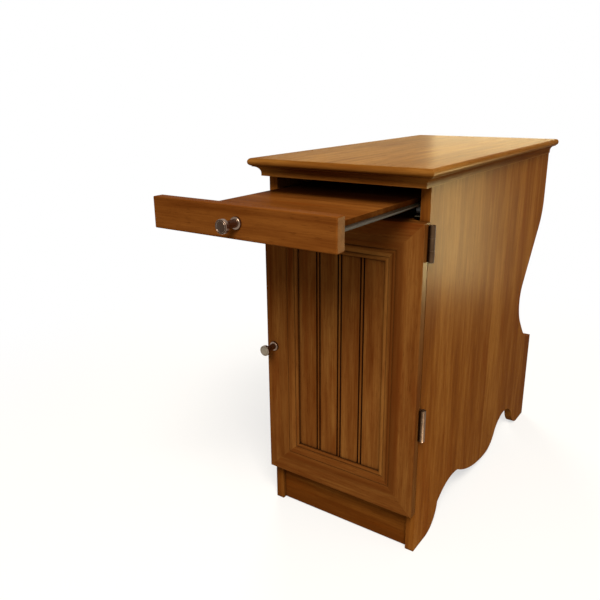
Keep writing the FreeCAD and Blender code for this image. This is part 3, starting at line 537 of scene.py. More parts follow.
# The metals' worn colours are rubbed edges with painted highlights; the knobs' rims carry the brightest.
BRONZE = MetalFinish("bronze", base=(0.088, 0.050, 0.026), worn=(0.42, 0.29, 0.19),
                     patina=(0.030, 0.014, 0.006), roughness=0.36, brush=(1.0, 1.0, 0.03))
PEWTER = MetalFinish("pewter", base=(0.24, 0.165, 0.12), worn=(0.78, 0.66, 0.56),
                     patina=(0.050, 0.027, 0.015), roughness=0.18, brush=(1.0, 0.05, 1.0))
# Painted reflections: the knob faces, dark on the tray's knob and pale on the door's.
PAINTED_DARK_REFLECTION_FACE = replace(PEWTER, name="pewter_dark_face", base=(0.060, 0.036, 0.023),
                    patina=(0.035, 0.019, 0.011))
PAINTED_PALE_REFLECTION_FACE = replace(PEWTER, name="pewter_pale_face", base=(0.27, 0.225, 0.165), patina=(0.16, 0.12, 0.08))
ZINC = MetalFinish("zinc", base=(0.42, 0.42, 0.41), worn=(0.68, 0.68, 0.66), patina=(0.20, 0.20, 0.19),
                   roughness=0.30, brush=(1.0, 0.02, 1.0))
RUNNER = MetalFinish("runner_steel", base=(0.088, 0.070, 0.042), worn=(0.28, 0.24, 0.16),
                     patina=(0.030, 0.026, 0.020), roughness=0.32, brush=(1.0, 0.02, 1.0))
# Painted shade: the nylon is dark, for the rollers that sit in the bay's shade.
NYLON_PAINTED_SHADE = MouldedFinish("nylon", base=(0.050, 0.047, 0.042), mottle=(0.030, 0.028, 0.025), roughness=0.40)
MAGNET = MouldedFinish("magnet", base=(0.030, 0.030, 0.032), mottle=(0.055, 0.053, 0.050), roughness=0.55)
RUBBER = MouldedFinish("rubber", base=(0.22, 0.21, 0.19), mottle=(0.16, 0.15, 0.14), roughness=0.55)
SLOT_FINISHES = {finish.name: finish for finish in (BRONZE, PEWTER, ZINC, NYLON_PAINTED_SHADE, MAGNET, RUBBER)}
BODY_OF = {node: body for body, nodes in frame["record"]["behaviour"]["bodies"].items() for node in nodes}
SLOT_OF = {row["node"]: row["material_slot"] for row in frame["record"]["subparts"]}


# Mesh tools

class Outline:
    """A profile drawn point by point in the plane across X, as (y, z)."""

    def __init__(self, start: Point2) -> None:
        """Starts at a point.

        Args:
            start: the point.
        """
        self.mesh = bmesh.new()
        self.tip = self.mesh.verts.new((0.0, *start))
        self.first = self.tip

    def line_to(self, *ends: Point2) -> "Outline":
        """Draws straight stretches.

        Args:
            ends: where each one ends.

        Returns:
            The outline itself.
        """
        for end in ends:
            vert = self.mesh.verts.new((0.0, *end))
            self.mesh.edges.new((self.tip, vert))
            self.tip = vert
        return self

    def arc_to(self, middle: Point2, end: Point2, steps: int) -> "Outline":
        """Draws a round stretch.

        Args:
            middle: a point on the way.
            end: where it ends.
            steps: how many pieces it has.

        Returns:
            The outline itself.
        """
        start = Vector(self.tip.co.yz)
        centre = self._centre(start, Vector(middle), Vector(end))
        first, way, last = (math.atan2(*reversed(Vector(p) - centre)) for p in (start, middle, end))
        sweep = (last - first) % FULL_TURN
        if (way - first) % FULL_TURN > sweep:
            sweep -= FULL_TURN
        made = bmesh.ops.spin(self.mesh, geom=[self.tip], cent=(0.0, *centre), axis=(1.0, 0.0, 0.0),
                              dvec=(0.0, 0.0, 0.0), angle=sweep, steps=steps, use_merge=False)
        self.tip = next(part for part in made["geom_last"] if isinstance(part, bmesh.types.BMVert))
        return self

    def round_to(self, corner: Point2, end: Point2, steps: int) -> "Outline":
        """Draws a quarter round inside a square corner."""
        inset = (Vector(self.tip.co.yz) + Vector(end) - 2 * Vector(corner)) * (1 - DIAGONAL)
        return self.arc_to(tuple(Vector(corner) + inset), end, steps)

    @staticmethod
    def _centre(start: Vector, middle: Vector, end: Vector) -> Vector:
        """The centre of the circle through three points.

        Args:
            start: the first point.
            middle: the second point.
            end: the third point.

        Returns:
            The centre.
        """
        u, v = middle - start, end - start
        turn = 2 * (u.x * v.y - u.y * v.x)
        uu, vv = u.length_squared, v.length_squared
        return start + Vector((v.y * uu - u.y * vv, u.x * vv - v.x * uu)) / turn

    def bar(self, low: float, high: float) -> Mesh:
        """Closes the profile and draws it out along X.

        Args:
            low: X of one end.
            high: X of the other end.

        Returns:
            The bar.
        """
        self.mesh.edges.new((self.tip, self.first))
        made = bmesh.ops.contextual_create(self.mesh, geom=self.mesh.edges[:])
        drawn = bmesh.ops.extrude_face_region(self.mesh, geom=made["faces"])
        verts = [part for part in drawn["geom"] if isinstance(part, bmesh.types.BMVert)]
        bmesh.ops.translate(self.mesh, verts=self.mesh.verts[:], vec=(low, 0.0, 0.0))
        bmesh.ops.translate(self.mesh, verts=verts, vec=(high - low, 0.0, 0.0))
        return self.mesh

    def turned(self, steps: int) -> Mesh:
        """Spins the open profile, as (radius, height), a full turn about Z.

        Args:
            steps: how many pieces the turn has.

        Returns:
            The turned shape.
        """
        parts = self.mesh.verts[:] + self.mesh.edges[:]
        bmesh.ops.spin(self.mesh, geom=parts, cent=(0.0, 0.0, 0.0), axis=(0.0, 0.0, 1.0),
                       dvec=(0.0, 0.0, 0.0), angle=FULL_TURN, steps=steps, use_merge=True)
        bmesh.ops.remove_doubles(self.mesh, verts=self.mesh.verts[:], dist=MERGE)
        return self.mesh


def put(mesh: Mesh, place: Matrix) -> None:
    """Moves a shape to its place."""
    bmesh.ops.transform(mesh, matrix=place, verts=mesh.verts[:])


def face_out(mesh: Mesh) -> None:
    """Turns a shape's faces outwards."""
    bmesh.ops.recalc_face_normals(mesh, faces=mesh.faces[:])


def foremost(edge: Edge) -> float:
    """The least Y of an edge."""
    return min(vert.co.y for vert in edge.verts)


def trim(mesh: Mesh, at: Vector, normal: Triple) -> None:
    """Cuts a solid off at a plane and closes the cut.

    Args:
        mesh: the solid.
        at: a point of the plane.
        normal: the way to the part that is cut away.
    """
    parts = mesh.verts[:] + mesh.edges[:] + mesh.faces[:]
    bmesh.ops.bisect_plane(mesh, geom=parts, plane_co=at, plane_no=normal, clear_outer=True, dist=MERGE)
    bmesh.ops.contextual_create(mesh, geom=[edge for edge in mesh.edges if edge.is_boundary])


def ease_edges(mesh: Mesh, reach: float, steps: int,
               wanted: Callable[[Edge], bool] = lambda edge: True) -> None:
    """Rounds the sharp edges of a solid.

    Args:
        mesh: the solid.
        reach: how far from the edge the round starts.
        steps: how many pieces the round has.
        wanted: picks among the sharp edges.
    """
    sharp = [edge for edge in mesh.edges
             if edge.is_manifold and edge.calc_face_angle(0.0) > SHARP_ANGLE and wanted(edge)]
    bmesh.ops.bevel(mesh, geom=sharp, offset=reach, offset_type="OFFSET", segments=steps, profile=0.5,
                    affect="EDGES", material=-1, clamp_overlap=True)


def block(low: Vector, high: Vector) -> Mesh:
    """A box between two corners, to be rounded.

    Args:
        low: its lowest corner.
        high: its highest corner.

    Returns:
        The box.
    """
    mesh = bmesh.new()
    place = Matrix.Translation((low + high) / 2) @ Matrix.Diagonal((*(high - low), 1.0))
    bmesh.ops.create_cube(mesh, size=1.0, matrix=place)
    return mesh


def solid_copy(node: str) -> Mesh:
    """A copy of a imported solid, its triangles joined to whole flats.

    Args:
        node: the solid's name.

    Returns:
        The copy.
    """
    mesh = bmesh.new()
    mesh.from_mesh(frame["nodes"][node].data)
    bmesh.ops.remove_doubles(mesh, verts=mesh.verts[:], dist=MERGE)
    bmesh.ops.dissolve_limit(mesh, angle_limit=FLAT_ANGLE, verts=mesh.verts[:], edges=mesh.edges[:])
    return mesh


def join(parts: list[Mesh]) -> Mesh:
    """Puts several shapes into one.

    Args:
        parts: the shapes, which are used up.

    Returns:
        The joined shape.
    """
    whole = bmesh.new()
    for part in parts:
        store = bpy.data.meshes.new("part")
        part.to_mesh(store)
        part.free()
        whole.from_mesh(store)
        bpy.data.meshes.remove(store)
    return whole


def new_piece(mesh: Mesh, node: str, *materials: Material, outward: bool = True) -> None:
    """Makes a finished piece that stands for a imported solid.

    Args:
        mesh: its shape, which is used up.
        node: the solid that it stands for.
        materials: its finishes, in the order that its faces number them.
        outward: whether its faces are turned outwards first.
    """
    if outward:
        face_out(mesh)
    name = f"{node}_finished"
    data = bpy.data.meshes.new(name)
    mesh.to_mesh(data)
    mesh.free()
    for layer in [layer for layer in data.attributes if layer.name == "custom_normal"]:
        data.attributes.remove(layer)
    data.shade_smooth()
    data.set_sharp_from_angle(angle=SHARP_ANGLE)
    for material in materials:
        data.materials.append(material)
    piece = bpy.data.objects.new(name, data)
    bpy.context.scene.collection.objects.link(piece)
    even = piece.modifiers.new("even_shading", "WEIGHTED_NORMAL")
    even.keep_sharp = True
    even.weight = EVEN_WEIGHT
    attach(piece, BODY_OF[node])
    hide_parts(node)
    log.info("%s rides on %s", name, BODY_OF[node])


def eased_piece(node: str, material: Material, reach: float) -> None:
    """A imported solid's copy with its edges rounded.

    Args:
        node: the solid's name.
        material: its finish.
        reach: how far from the edge the round starts.
    """
    mesh = solid_copy(node)
    ease_edges(mesh, reach, EASE_STEPS)
    new_piece(mesh, node, material, outward=False)


# Sub-assemblies

@dataclass
class Carcass:
    """The boards of the cabinet, with softly broken edges."""

    ease: float = 0.6 * MM
    grains: dict[str, Grain] = field(default_factory=lambda: {
        "side_panel_left": Grain.UPRIGHT, "side_panel_right": Grain.UPRIGHT, "bottom_panel": Grain.ACROSS,
        "divider_panel": Grain.ACROSS, "back_panel": Grain.UPRIGHT, "toe_kick": Grain.ACROSS,
        "rack_floor": Grain.ACROSS, "rack_panel": Grain.ACROSS, "adjustable_shelf": Grain.ACROSS})
    lifts: dict[str, float] = field(default_factory=lambda: {"toe_kick": -0.07})

    def build(self) -> None:
        """Makes every board."""
        for seed, (node, grain) in enumerate(self.grains.items()):
            eased_piece(node, OAK_BOARD.material(grain, seed, self.lifts.get(node, 0.0)), self.ease)


@dataclass
class Top:
    """The bullnosed top board and the cove moulding under it."""

    nose_gap: float = 0.3 * MM
    nose_steps: int = 8
    nose_share: float = 0.35
    back_ease: float = 0.5 * MM
    lower_edge_height: float = 4.0 * MM
    lower_edge_reach: float = 1.4 * MM
    fillet_height: float = 1.2 * MM
    upright_share: float = 0.99
    cove_steps: int = 14
    board_seed: int = 21
    front_seed: int = 22
    side_seed: int = 23

    def build(self) -> None:
        """Makes the board and its three strips of moulding."""
        self._board()
        self._front_strip()
        for side in Side:
            self._side_strip(side)

    def _board(self) -> None:
        """The top board: a half round on its front and its sides."""
        low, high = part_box("top_board")
        mesh = block(low, high)
        nose = (high.z - low.z) / 2

        def nosed(edge: Edge) -> bool:
            """Whether an edge is a long one of the front or a side.

            Args:
                edge: the edge.

            Returns:
                True if it is.
            """
            first, last = (vert.co for vert in edge.verts)
            return abs(first.z - last.z) < MERGE and (
                (first.y + last.y) / 2 < low.y + nose or abs(first.x + last.x) / 2 > high.x - nose)

        ease_edges(mesh, nose - self.nose_gap, self.nose_steps, nosed)
        ease_edges(mesh, self.back_ease, EASE_STEPS, lambda edge: foremost(edge) > high.y - nose)
        face_out(mesh)
        for face in mesh.faces:
            face.material_index = int(face.normal.y < -self.nose_share)
        # the top's finish with painted light
        new_piece(mesh, "top_board", *(OAK_TOP_PAINTED_LIGHT.material(grain, self.board_seed)
                                       for grain in (Grain.DEEP, Grain.ACROSS)))

    def _profile(self, reach: float, height: float) -> Outline:
        """The moulding's section: a square lower edge, a wide cove and a thin fillet.

        Args:
            reach: how far it stands out to -Y.
            height: its height.

        Returns:
            The open outline, from its lower back corner.
        """
        cove_top = height - self.fillet_height
        edge, edge_top = -self.lower_edge_reach, self.lower_edge_height
        cove_middle = (-reach + (reach + edge) * DIAGONAL, edge_top + (cove_top - edge_top) * DIAGONAL)
        line = Outline((0.0, 0.0)).line_to((edge, 0.0), (edge, edge_top))
        line.arc_to(cove_middle, (-reach, cove_top), self.cove_steps)
        return line.line_to((-reach, height), (0.0, height))

    def _front_strip(self) -> None:
        """The front strip, mitred at both ends, and the block behind it."""
        low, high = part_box("top_moulding_front")
        reach_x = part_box("side_panel_right")[1].x
        reach = high.x - reach_x
        face = low.y + reach
        strip = self._profile(reach, high.z - low.z).bar(low.x, high.x)
        for side in Side:
            trim(strip, Vector((side.value * reach_x, 0.0, 0.0)), (side.value, 1.0, 0.0))
        put(strip, Matrix.Translation((0.0, face, low.z)))
        back = block(Vector((-reach_x, face, low.z)), Vector((reach_x, high.y, high.z)))
        material = OAK_MOULDING.material(Grain.ACROSS, self.front_seed)
        new_piece(join([strip, back]), "top_moulding_front", material)

    def _side_strip(self, side: Side) -> None:
        """A side strip, mitred at its front end.

        Args:
            side: which side it is on.
        """
        node = f"top_moulding_{side.word}"
        low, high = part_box(node)
        reach_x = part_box("side_panel_right")[1].x
        reach = high.x - low.x
        strip = self._profile(reach, high.z - low.z).bar(-reach, high.y - low.y - reach)
        trim(strip, Vector((0.0, 0.0, 0.0)), (-1.0, 1.0, 0.0))
        turn = Matrix.Translation((reach_x, low.y + reach, low.z)) @ Matrix.Rotation(QUARTER_TURN, 4, "Z")
        put(strip, Matrix.Diagonal((side.value, 1.0, 1.0, 1.0)) @ turn)
        face_out(strip)
        # the lower edge's upright faces get the finish with painted highlights
        for face in strip.faces:
            low_face = face.calc_center_median().z < low.z + self.lower_edge_height
            face.material_index = int(low_face and abs(face.normal.x) > self.upright_share)
        seed = self.side_seed + side.value
        new_piece(strip, node, *(finish.material(Grain.DEEP, seed) for finish in (OAK_MOULDING, OAK_PAINTED_HIGHLIGHT_EDGE)))


@dataclass(frozen=True)
class Member:
    """A member of the door's frame: its turn from the bottom rail's place, and its looks."""

    node: str
    turn: float
    # how strong the frame's band of painted shade is on this member
    band_share: float
    grain: Grain = Grain.ACROSS
    lift: float = 0.0
    finish: WoodFinish = OAK_DOOR


@dataclass
class Door:
    """The mitred frame with its moulded inner edge, and the beaded panel."""

    border_width: float = 24.0 * MM
    border_round: float = 1.8 * MM
    crest_width: float = 10.0 * MM
    crest_rise: float = 1.0 * MM
    crest_fall: float = 1.6 * MM
    sticking_width: float = 19.0 * MM
    quirk_width: float = 1.2 * MM
    quirk_depth: float = 0.7 * MM
    bead_width: float = 3.6 * MM
    bead_rise: float = 1.0 * MM
    lip_bead_width: float = 5.4 * MM
    lip_bead_rise: float = 1.2 * MM
    lip_depth: float = 3.2 * MM
    swell_share: float = 0.75
    cove_middle_share: Point2 = (0.62, 0.5)
    round_steps: int = 5
    swell_steps: int = 6
    bead_steps: int = 8
    panel_ease: float = 0.25 * MM
    groove_start: float = 0.15 * MM
    groove_end: float = 3.0 * MM
    seed: int = 31
    panel_seed: int = 36
    members: tuple[Member, ...] = (
        Member("door_rail_bottom", 0.0, 0.55, lift=-0.06),
        Member("door_stile_left", QUARTER_TURN, 0.35, Grain.UPRIGHT),
        Member("door_rail_top", 2 * QUARTER_TURN, 0.50),
        Member("door_stile_right", 3 * QUARTER_TURN, 0.75, Grain.UPRIGHT, finish=OAK_STILE))

    def build(self) -> None:
        """Makes the four frame members and the panel."""
        for seed, member in enumerate(self.members, self.seed):
            self._member(member, seed)
        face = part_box("door_panel")[0].y
        # where painted shade fills the panel's grooves
        painted_groove_shade = (face + self.groove_start, face + self.groove_end)
        material = OAK_PANEL.material(Grain.UPRIGHT, self.panel_seed, painted_groove_shade=painted_groove_shade)
        eased_piece("door_panel", material, self.panel_ease)

    def _member(self, member: Member, seed: int) -> None:
        """Makes one frame member in its place, with a band of painted shade inside the frame's crest.

        Args:
            member: the member.
            seed: its number.
        """
        rail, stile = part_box("door_rail_bottom"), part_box("door_stile_right")
        width, thickness = rail[1].z - rail[0].z, rail[1].y - rail[0].y
        half_across, half_high = (rail[1].x - rail[0].x) / 2, (stile[1].z - stile[0].z) / 2
        upright = member.grain is Grain.UPRIGHT
        half, offset = (half_high, half_across) if upright else (half_across, half_high)
        mesh = self._section(width, thickness).bar(-half, half)
        for end in (-1, 1):
            trim(mesh, Vector((end * half, 0.0, 0.0)), (end, 0.0, 1.0))
        middle = (stile[0].z + stile[1].z) / 2
        put(mesh, Matrix.Translation((0.0, rail[0].y, middle)) @ Matrix.Rotation(member.turn, 4, "Y")
            @ Matrix.Translation((0.0, 0.0, -offset)))
        depth = ((rail[0].y + rail[1].y) / 2, rail[1].y)
        # the band of painted shade on the frame's front
        band = Band((0.0, middle), (half_across, half_high), depth, member.band_share)
        material = member.finish.material(member.grain, seed, member.lift, painted_shade_band=band)
        new_piece(mesh, member.node, material)

    def _section(self, width: float, thickness: float) -> Outline:
        """The member's section, its face at zero and its outer edge at zero.

        Args:
            width: the member's width.
            thickness: the door's thickness.

        Returns:
            The open outline, from its outer back corner.
        """
        panel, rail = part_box("door_panel"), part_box("door_rail_bottom")
        recess, back = panel[0].y - rail[0].y, panel[1].y - rail[0].y
        tongue = width - (rail[1].z - panel[0].z)
        crest = self.border_width + self.crest_width
        band_end = width - self.sticking_width
        start = band_end + self.quirk_width
        end = start + self.bead_width
        half_quirk = self.quirk_width / 2
        cove = end + half_quirk
        lip = recess - self.lip_depth
        lip_bead = width - self.lip_bead_width
        cove_end = lip_bead - self.quirk_width
        low, fall = self.crest_rise, self.crest_fall
        quirk = fall + self.quirk_depth
        middle = (quirk + (lip - quirk) * self.cove_middle_share[0],
                  cove + (cove_end - cove) * self.cove_middle_share[1])
        flat_share = 1 - self.swell_share
        line = Outline((thickness, 0.0)).line_to((low + self.border_round, 0.0))
        line.round_to((low, 0.0), (low, self.border_round), self.round_steps)
        line.line_to((low, self.border_width))
        line.arc_to((low * flat_share, (self.border_width + crest) / 2), (0.0, crest), self.swell_steps)
        line.arc_to((fall * flat_share, (crest + band_end) / 2), (fall, band_end), self.swell_steps)
        line.line_to((quirk, start - half_quirk), (fall, start))
        line.arc_to((fall - self.bead_rise, (start + end) / 2), (fall, end), self.bead_steps)
        line.line_to((quirk, cove)).arc_to(middle, (lip, cove_end), self.swell_steps)
        line.line_to((lip + self.quirk_depth, lip_bead - half_quirk), (lip, lip_bead))
        line.arc_to((lip - self.lip_bead_rise, (lip_bead + width) / 2), (lip, width), self.bead_steps)
        return line.line_to((recess, width), (recess, tongue), (back, tongue), (back, width),
                            (thickness, width))


@dataclass
class Tray:
    """The pull-out tray's front and panel."""

    front_round: float = 1.5 * MM
    front_steps: int = 5
    back_ease: float = 0.4 * MM
    # painted shade: the panel is darker, for the top's shadow on it
    panel_lift: float = -0.06
    seed: int = 41

    def build(self) -> None:
        """Makes the front and the panel."""
        low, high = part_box("tray_front")
        mesh = block(low, high)
        ease_edges(mesh, self.front_round, self.front_steps, lambda edge: foremost(edge) < low.y + MERGE)
        ease_edges(mesh, self.back_ease, EASE_STEPS, lambda edge: foremost(edge) > high.y - MERGE)
        new_piece(mesh, "tray_front", OAK_TRAY.material(Grain.ACROSS, self.seed))
        # the panel's finish with its painted shade
        panel = OAK_TRAY.material(Grain.ACROSS, self.seed + 1, self.panel_lift)
        eased_piece("tray_panel", panel, self.back_ease)


@dataclass
class Knob:
    """A turned knob: a collared base, a waisted neck and a cap with a bright rim round a low dome, whose
    face has a painted reflection.
    """

    node: str
    # finish of the cap's face, with a painted reflection
    face_finish: MetalFinish
    base_radius: float = 8.0 * MM
    base_height: float = 4.0 * MM
    neck_radius: float = 5.0 * MM
    cap_radius: float = 9.0 * MM
    cap_height: float = 6.5 * MM
    edge_round: float = 1.8 * MM
    face_round: float = 0.7 * MM
    face_share: float = 0.9
    groove_width: float = 0.7 * MM
    groove_depth: float = 0.5 * MM
    collar_step: float = 0.5 * MM
    dome: float = 0.8 * MM
    dome_swell: float = 0.75
    edge_steps: int = 6
    neck_steps: int = 16
    face_steps: int = 4
    dome_steps: int = 8
    turn_steps: int = 72
    seed: int = 51

    def build(self) -> None:
        """Turns the knob and sets it on its front."""
        low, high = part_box(self.node)
        mesh = self._profile(high.y - low.y - self.dome).turned(self.turn_steps)
        foot = Vector(((low.x + high.x) / 2, high.y, (low.z + high.z) / 2))
        put(mesh, Matrix.Translation(foot) @ Matrix.Rotation(QUARTER_TURN, 4, "X"))
        face_out(mesh)
        # the cap's face gets the finish with a painted reflection
        for face in mesh.faces:
            on_cap = face.calc_center_median().y < low.y + self.dome + self.face_round
            face.material_index = int(on_cap and face.normal.y < -self.face_share)
        new_piece(mesh, self.node, PEWTER.material(self.seed), self.face_finish.material(self.seed))

    def _profile(self, reach: float) -> Outline:
        """The knob's outline from its foot to the middle of its dome.

        Args:
            reach: how far its rim stands out.

        Returns:
            The open outline, as (radius, height).
        """
        base, base_top, radius, soft = self.base_radius, self.base_height, self.cap_radius, self.edge_round
        cap = reach - self.cap_height
        base_edge, cap_edge = base - soft, radius - soft
        groove = cap_edge - self.groove_width
        line = Outline((0.0, 0.0)).line_to((base, 0.0), (base, base_top - soft))
        line.round_to((base, base_top), (base_edge, base_top), self.edge_steps)
        line.line_to((base_edge - self.collar_step, base_top))
        line.arc_to((self.neck_radius, (base_top + cap) / 2), (cap_edge - self.collar_step, cap),
                    self.neck_steps)
        line.line_to((cap_edge, cap)).round_to((radius, cap), (radius, cap + soft), self.edge_steps)
        line.line_to((radius, reach - self.face_round))
        line.round_to((radius, reach), (radius - self.face_round, reach), self.face_steps)
        line.line_to((cap_edge, reach), (cap_edge - self.groove_width / 2, reach - self.groove_depth),
                     (groove, reach))
        return line.arc_to((groove / 2, reach + self.dome * self.dome_swell), (0.0, reach + self.dome),
                           self.dome_steps)


@dataclass
class Roller:
    """A nylon roller: a crowned tread and a hub that stands in a shallow dish on each face."""

    node: str
    hub_share: float = 0.62
    rim_share: float = 0.84
    dish: float = 0.8 * MM
    tread_round: float = 0.6 * MM
    turn_steps: int = 48
    seed: int = 61

    def build(self) -> None:
        """Turns the roller about the solid's own bore and lays it on its axle."""
        low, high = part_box(self.node)
        middle = (low + high) / 2
        bore = min((v.co - middle).yz.length for v in frame["nodes"][self.node].data.vertices)
        radius, half = (high.z - low.z) / 2, (high.x - low.x) / 2
        hub, rim, soft = radius * self.hub_share, radius * self.rim_share, self.tread_round
        face = [(bore, -half), (hub, -half), (hub + soft, self.dish - half), (rim, self.dish - half),
                (rim + soft / 2, -half), (radius - soft, -half), (radius, soft - half)]
        other_face = [(out, -along) for out, along in reversed(face)]
        mesh = Outline(face[0]).line_to(*face[1:], *other_face, face[0]).turned(self.turn_steps)
        put(mesh, Matrix.Translation(middle) @ Matrix.Rotation(QUARTER_TURN, 4, "Y"))
        new_piece(mesh, self.node, NYLON_PAINTED_SHADE.material(self.seed))


@dataclass
class Screws:
    """The screws of one node, each with a cross recess in its head."""

    node: str
    finish: MetalFinish
    recess_cells: int = 7
    recess_share: float = 0.45
    recess_taper: float = 0.12
    recess_depth: float = 0.6
    cone_share: float = 0.45
    dome_share: float = 0.30
    seed: int = 71

    def build(self) -> None:
        """Makes a screw for each solid of the node."""
        whole = solid_copy(self.node)
        parts = [self._screw(island) for island in self._islands(whole)]
        whole.free()
        new_piece(join(parts), self.node, self.finish.material(self.seed))

    @staticmethod
    def _islands(mesh: Mesh) -> list[list[Vector]]:
        """The points of each separate solid.

        Args:
            mesh: the joined copy of the node.

        Returns:
            A list of points for each solid.
        """
        left, islands = set(mesh.verts), []
        while left:
            open_ends, found = [left.pop()], []
            while open_ends:
                vert = open_ends.pop()
                found.append(vert.co.copy())
                near = {edge.other_vert(vert) for edge in vert.link_edges} & left
                left -= near
                open_ends.extend(near)
            islands.append(found)
        return islands

    def _screw(self, points: list[Vector]) -> Mesh:
        """A screw of the same size and place as a plain one.

        Args:
            points: the plain screw's points.

        Returns:
            The screw.
        """
        low, high = (Vector([pick(p[i] for p in points) for i in range(3)]) for pick in (min, max))
        size, middle = high - low, (low + high) / 2
        axis = max(range(3), key=lambda i: size[i])
        levels = {-1: low[axis], 1: high[axis]}
        ends = {sign: max(self._off_axis(p - middle, axis) for p in points if abs(p[axis] - level) < MERGE)
                for sign, level in levels.items()}
        way = max(ends, key=lambda sign: ends[sign])
        radius, shank = ends[way], ends[-way]
        head = max(abs(p[axis] - levels[way]) for p in points
                   if self._off_axis(p - middle, axis) > shank + MERGE)
        sunk = head < MERGE
        out = Vector([way if i == axis else 0.0 for i in range(3)])
        tip = Vector([levels[way] if i == axis else middle[i] for i in range(3)])
        mesh = self._head(radius, shank, radius * self.cone_share if sunk else head, size[axis], sunk)
        put(mesh, Matrix.Translation(tip) @ out.to_track_quat("Z", "Y").to_matrix().to_4x4())
        return mesh

    @staticmethod
    def _off_axis(point: Vector, axis: int) -> float:
        """A point's distance from an axis through zero."""
        return math.sqrt(sum(point[i] ** 2 for i in range(3) if i != axis))

    def _head(self, radius: float, shank: float, height: float, length: float, sunk: bool) -> Mesh:
        """A screw along -Z with its head's top at zero.

        Args:
            radius: the head's radius.
            shank: the shank's radius.
            height: the head's height.
            length: the whole screw's length.
            sunk: whether the head is a cone.

        Returns:
            The screw.
        """
        mesh = bmesh.new()
        cells = self.recess_cells
        bmesh.ops.create_grid(mesh, x_segments=cells, y_segments=cells, size=radius)
        cell = 2 * radius / cells
        arm = radius * self.recess_share + cell
        cross = [face for face in mesh.faces if min(abs(c) for c in face.calc_center_median().xy) < cell / 2
                 and max(abs(c) for c in face.calc_center_median().xy) < arm]
        for vert in mesh.verts:
            flat = vert.co.xy
            if flat.length > 0:
                vert.co *= max(abs(flat.x), abs(flat.y)) / flat.length
            if not sunk:
                vert.co.z = -height * self.dome_share * (vert.co.xy.length / radius) ** 2
        bmesh.ops.inset_region(mesh, faces=cross, thickness=cell * self.recess_taper,
                               depth=-height * self.recess_depth, use_even_offset=True)
        rim = [edge for edge in mesh.edges if edge.is_boundary]
        narrow = shank / radius
        rings = ([] if sunk else [(1.0, -height)]) + [(narrow, -height), (narrow, -length)]
        scale = 1.0
        for share, level in rings:
            drawn = bmesh.ops.extrude_edge_only(mesh, edges=rim)["geom"]
            rim = [part for part in drawn if isinstance(part, Edge)]
            for vert in {vert for edge in rim for vert in edge.verts}:
                vert.co.x *= share / scale
                vert.co.y *= share / scale
                vert.co.z = level
            scale = share
        bmesh.ops.contextual_create(mesh, geom=rim)
        return mesh


@dataclass
class Fittings:
    """Hinges, runners, catch, cams, brackets and pins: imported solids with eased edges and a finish."""

    sheet_ease: float = 0.18 * MM
    seed: int = 81
    sheet_nodes: tuple[str, ...] = (
        "hinge_side_leaf_upper", "hinge_side_leaf_lower", "hinge_door_leaf_upper", "hinge_door_leaf_lower",
        "hinge_pin_upper", "hinge_pin_lower", "runner_channel_left", "runner_channel_right",
        "runner_rail_left", "runner_rail_right", "tray_brackets", "strike_plate", "catch_body",
        "catch_magnet", "shelf_pins", "cam_locks", "cam_bolts", "door_bumpers")
    screw_word: str = "_screw"
    dowel_word: str = "_dowels"

    def build(self) -> None:
        """Makes every fitting and dresses the dowels that the joints hide."""
        for seed, node in enumerate(self.sheet_nodes, self.seed):
            finish = RUNNER if node.startswith("runner") else SLOT_FINISHES[SLOT_OF[node]]
            eased_piece(node, finish.material(seed), self.sheet_ease)
        for node in (node for node in SLOT_OF if self.screw_word in node):
            Screws(node, SLOT_FINISHES[SLOT_OF[node]]).build()
        for seed, node in enumerate((node for node in SLOT_OF if self.dowel_word in node), self.seed):
            dowels = frame["nodes"][node]
            dowels.data.materials.clear()
            dowels.data.materials.append(BEECH.material(Grain.ACROSS, seed))
            log.info("%s dressed", node)


# Studio

WARM = (1.0, 0.93, 0.82)
DOOR_NODES = ("door_rail_bottom", "door_rail_top", "door_stile_left", "door_stile_right", "door_panel")
TRAY_NODES = ("tray_panel",)
TOP_NODES = ("top_board",)
SEEN_RAYS = ("Camera", "Glossy", "Transmission")


@dataclass(frozen=True)
class Lamp:
    """A soft square lamp that looks at a point."""

    name: str
    place: Triple
    aim: Triple
    width: float
    power: float
    colour: Colour
    reach: Reach = Reach.FULL
    lit: tuple[str, ...] = ()
    spared: tuple[str, ...] = ()

    def build(self) -> None:
        """Hangs the lamp and holds it to the pieces that it lights, or off those that it spares."""
        data = bpy.data.lights.new(self.name, "AREA")
        data.shape = "SQUARE"
        data.size = self.width
        data.energy = self.power
        data.color = self.colour
        lamp = bpy.data.objects.new(self.name, data)
        lamp.visible_camera = False
        lamp.visible_diffuse = self.reach is not Reach.SHEEN
        lamp.visible_glossy = self.reach is not Reach.MATT
        lamp.location = self.place
        lamp.rotation_euler = (Vector(self.place) - Vector(self.aim)).to_track_quat("Z", "Y").to_euler()
        bpy.context.scene.collection.objects.link(lamp)
        if self.lit or self.spared:
            pieces = bpy.data.collections.new(f"{self.name}_pieces")
            for node in self.lit + self.spared:
                pieces.objects.link(bpy.data.objects[f"{node}_finished"])
            for member in pieces.collection_objects:
                member.light_linking.link_state = "INCLUDE" if self.lit else "EXCLUDE"
            lamp.light_linking.receiver_collection = pieces


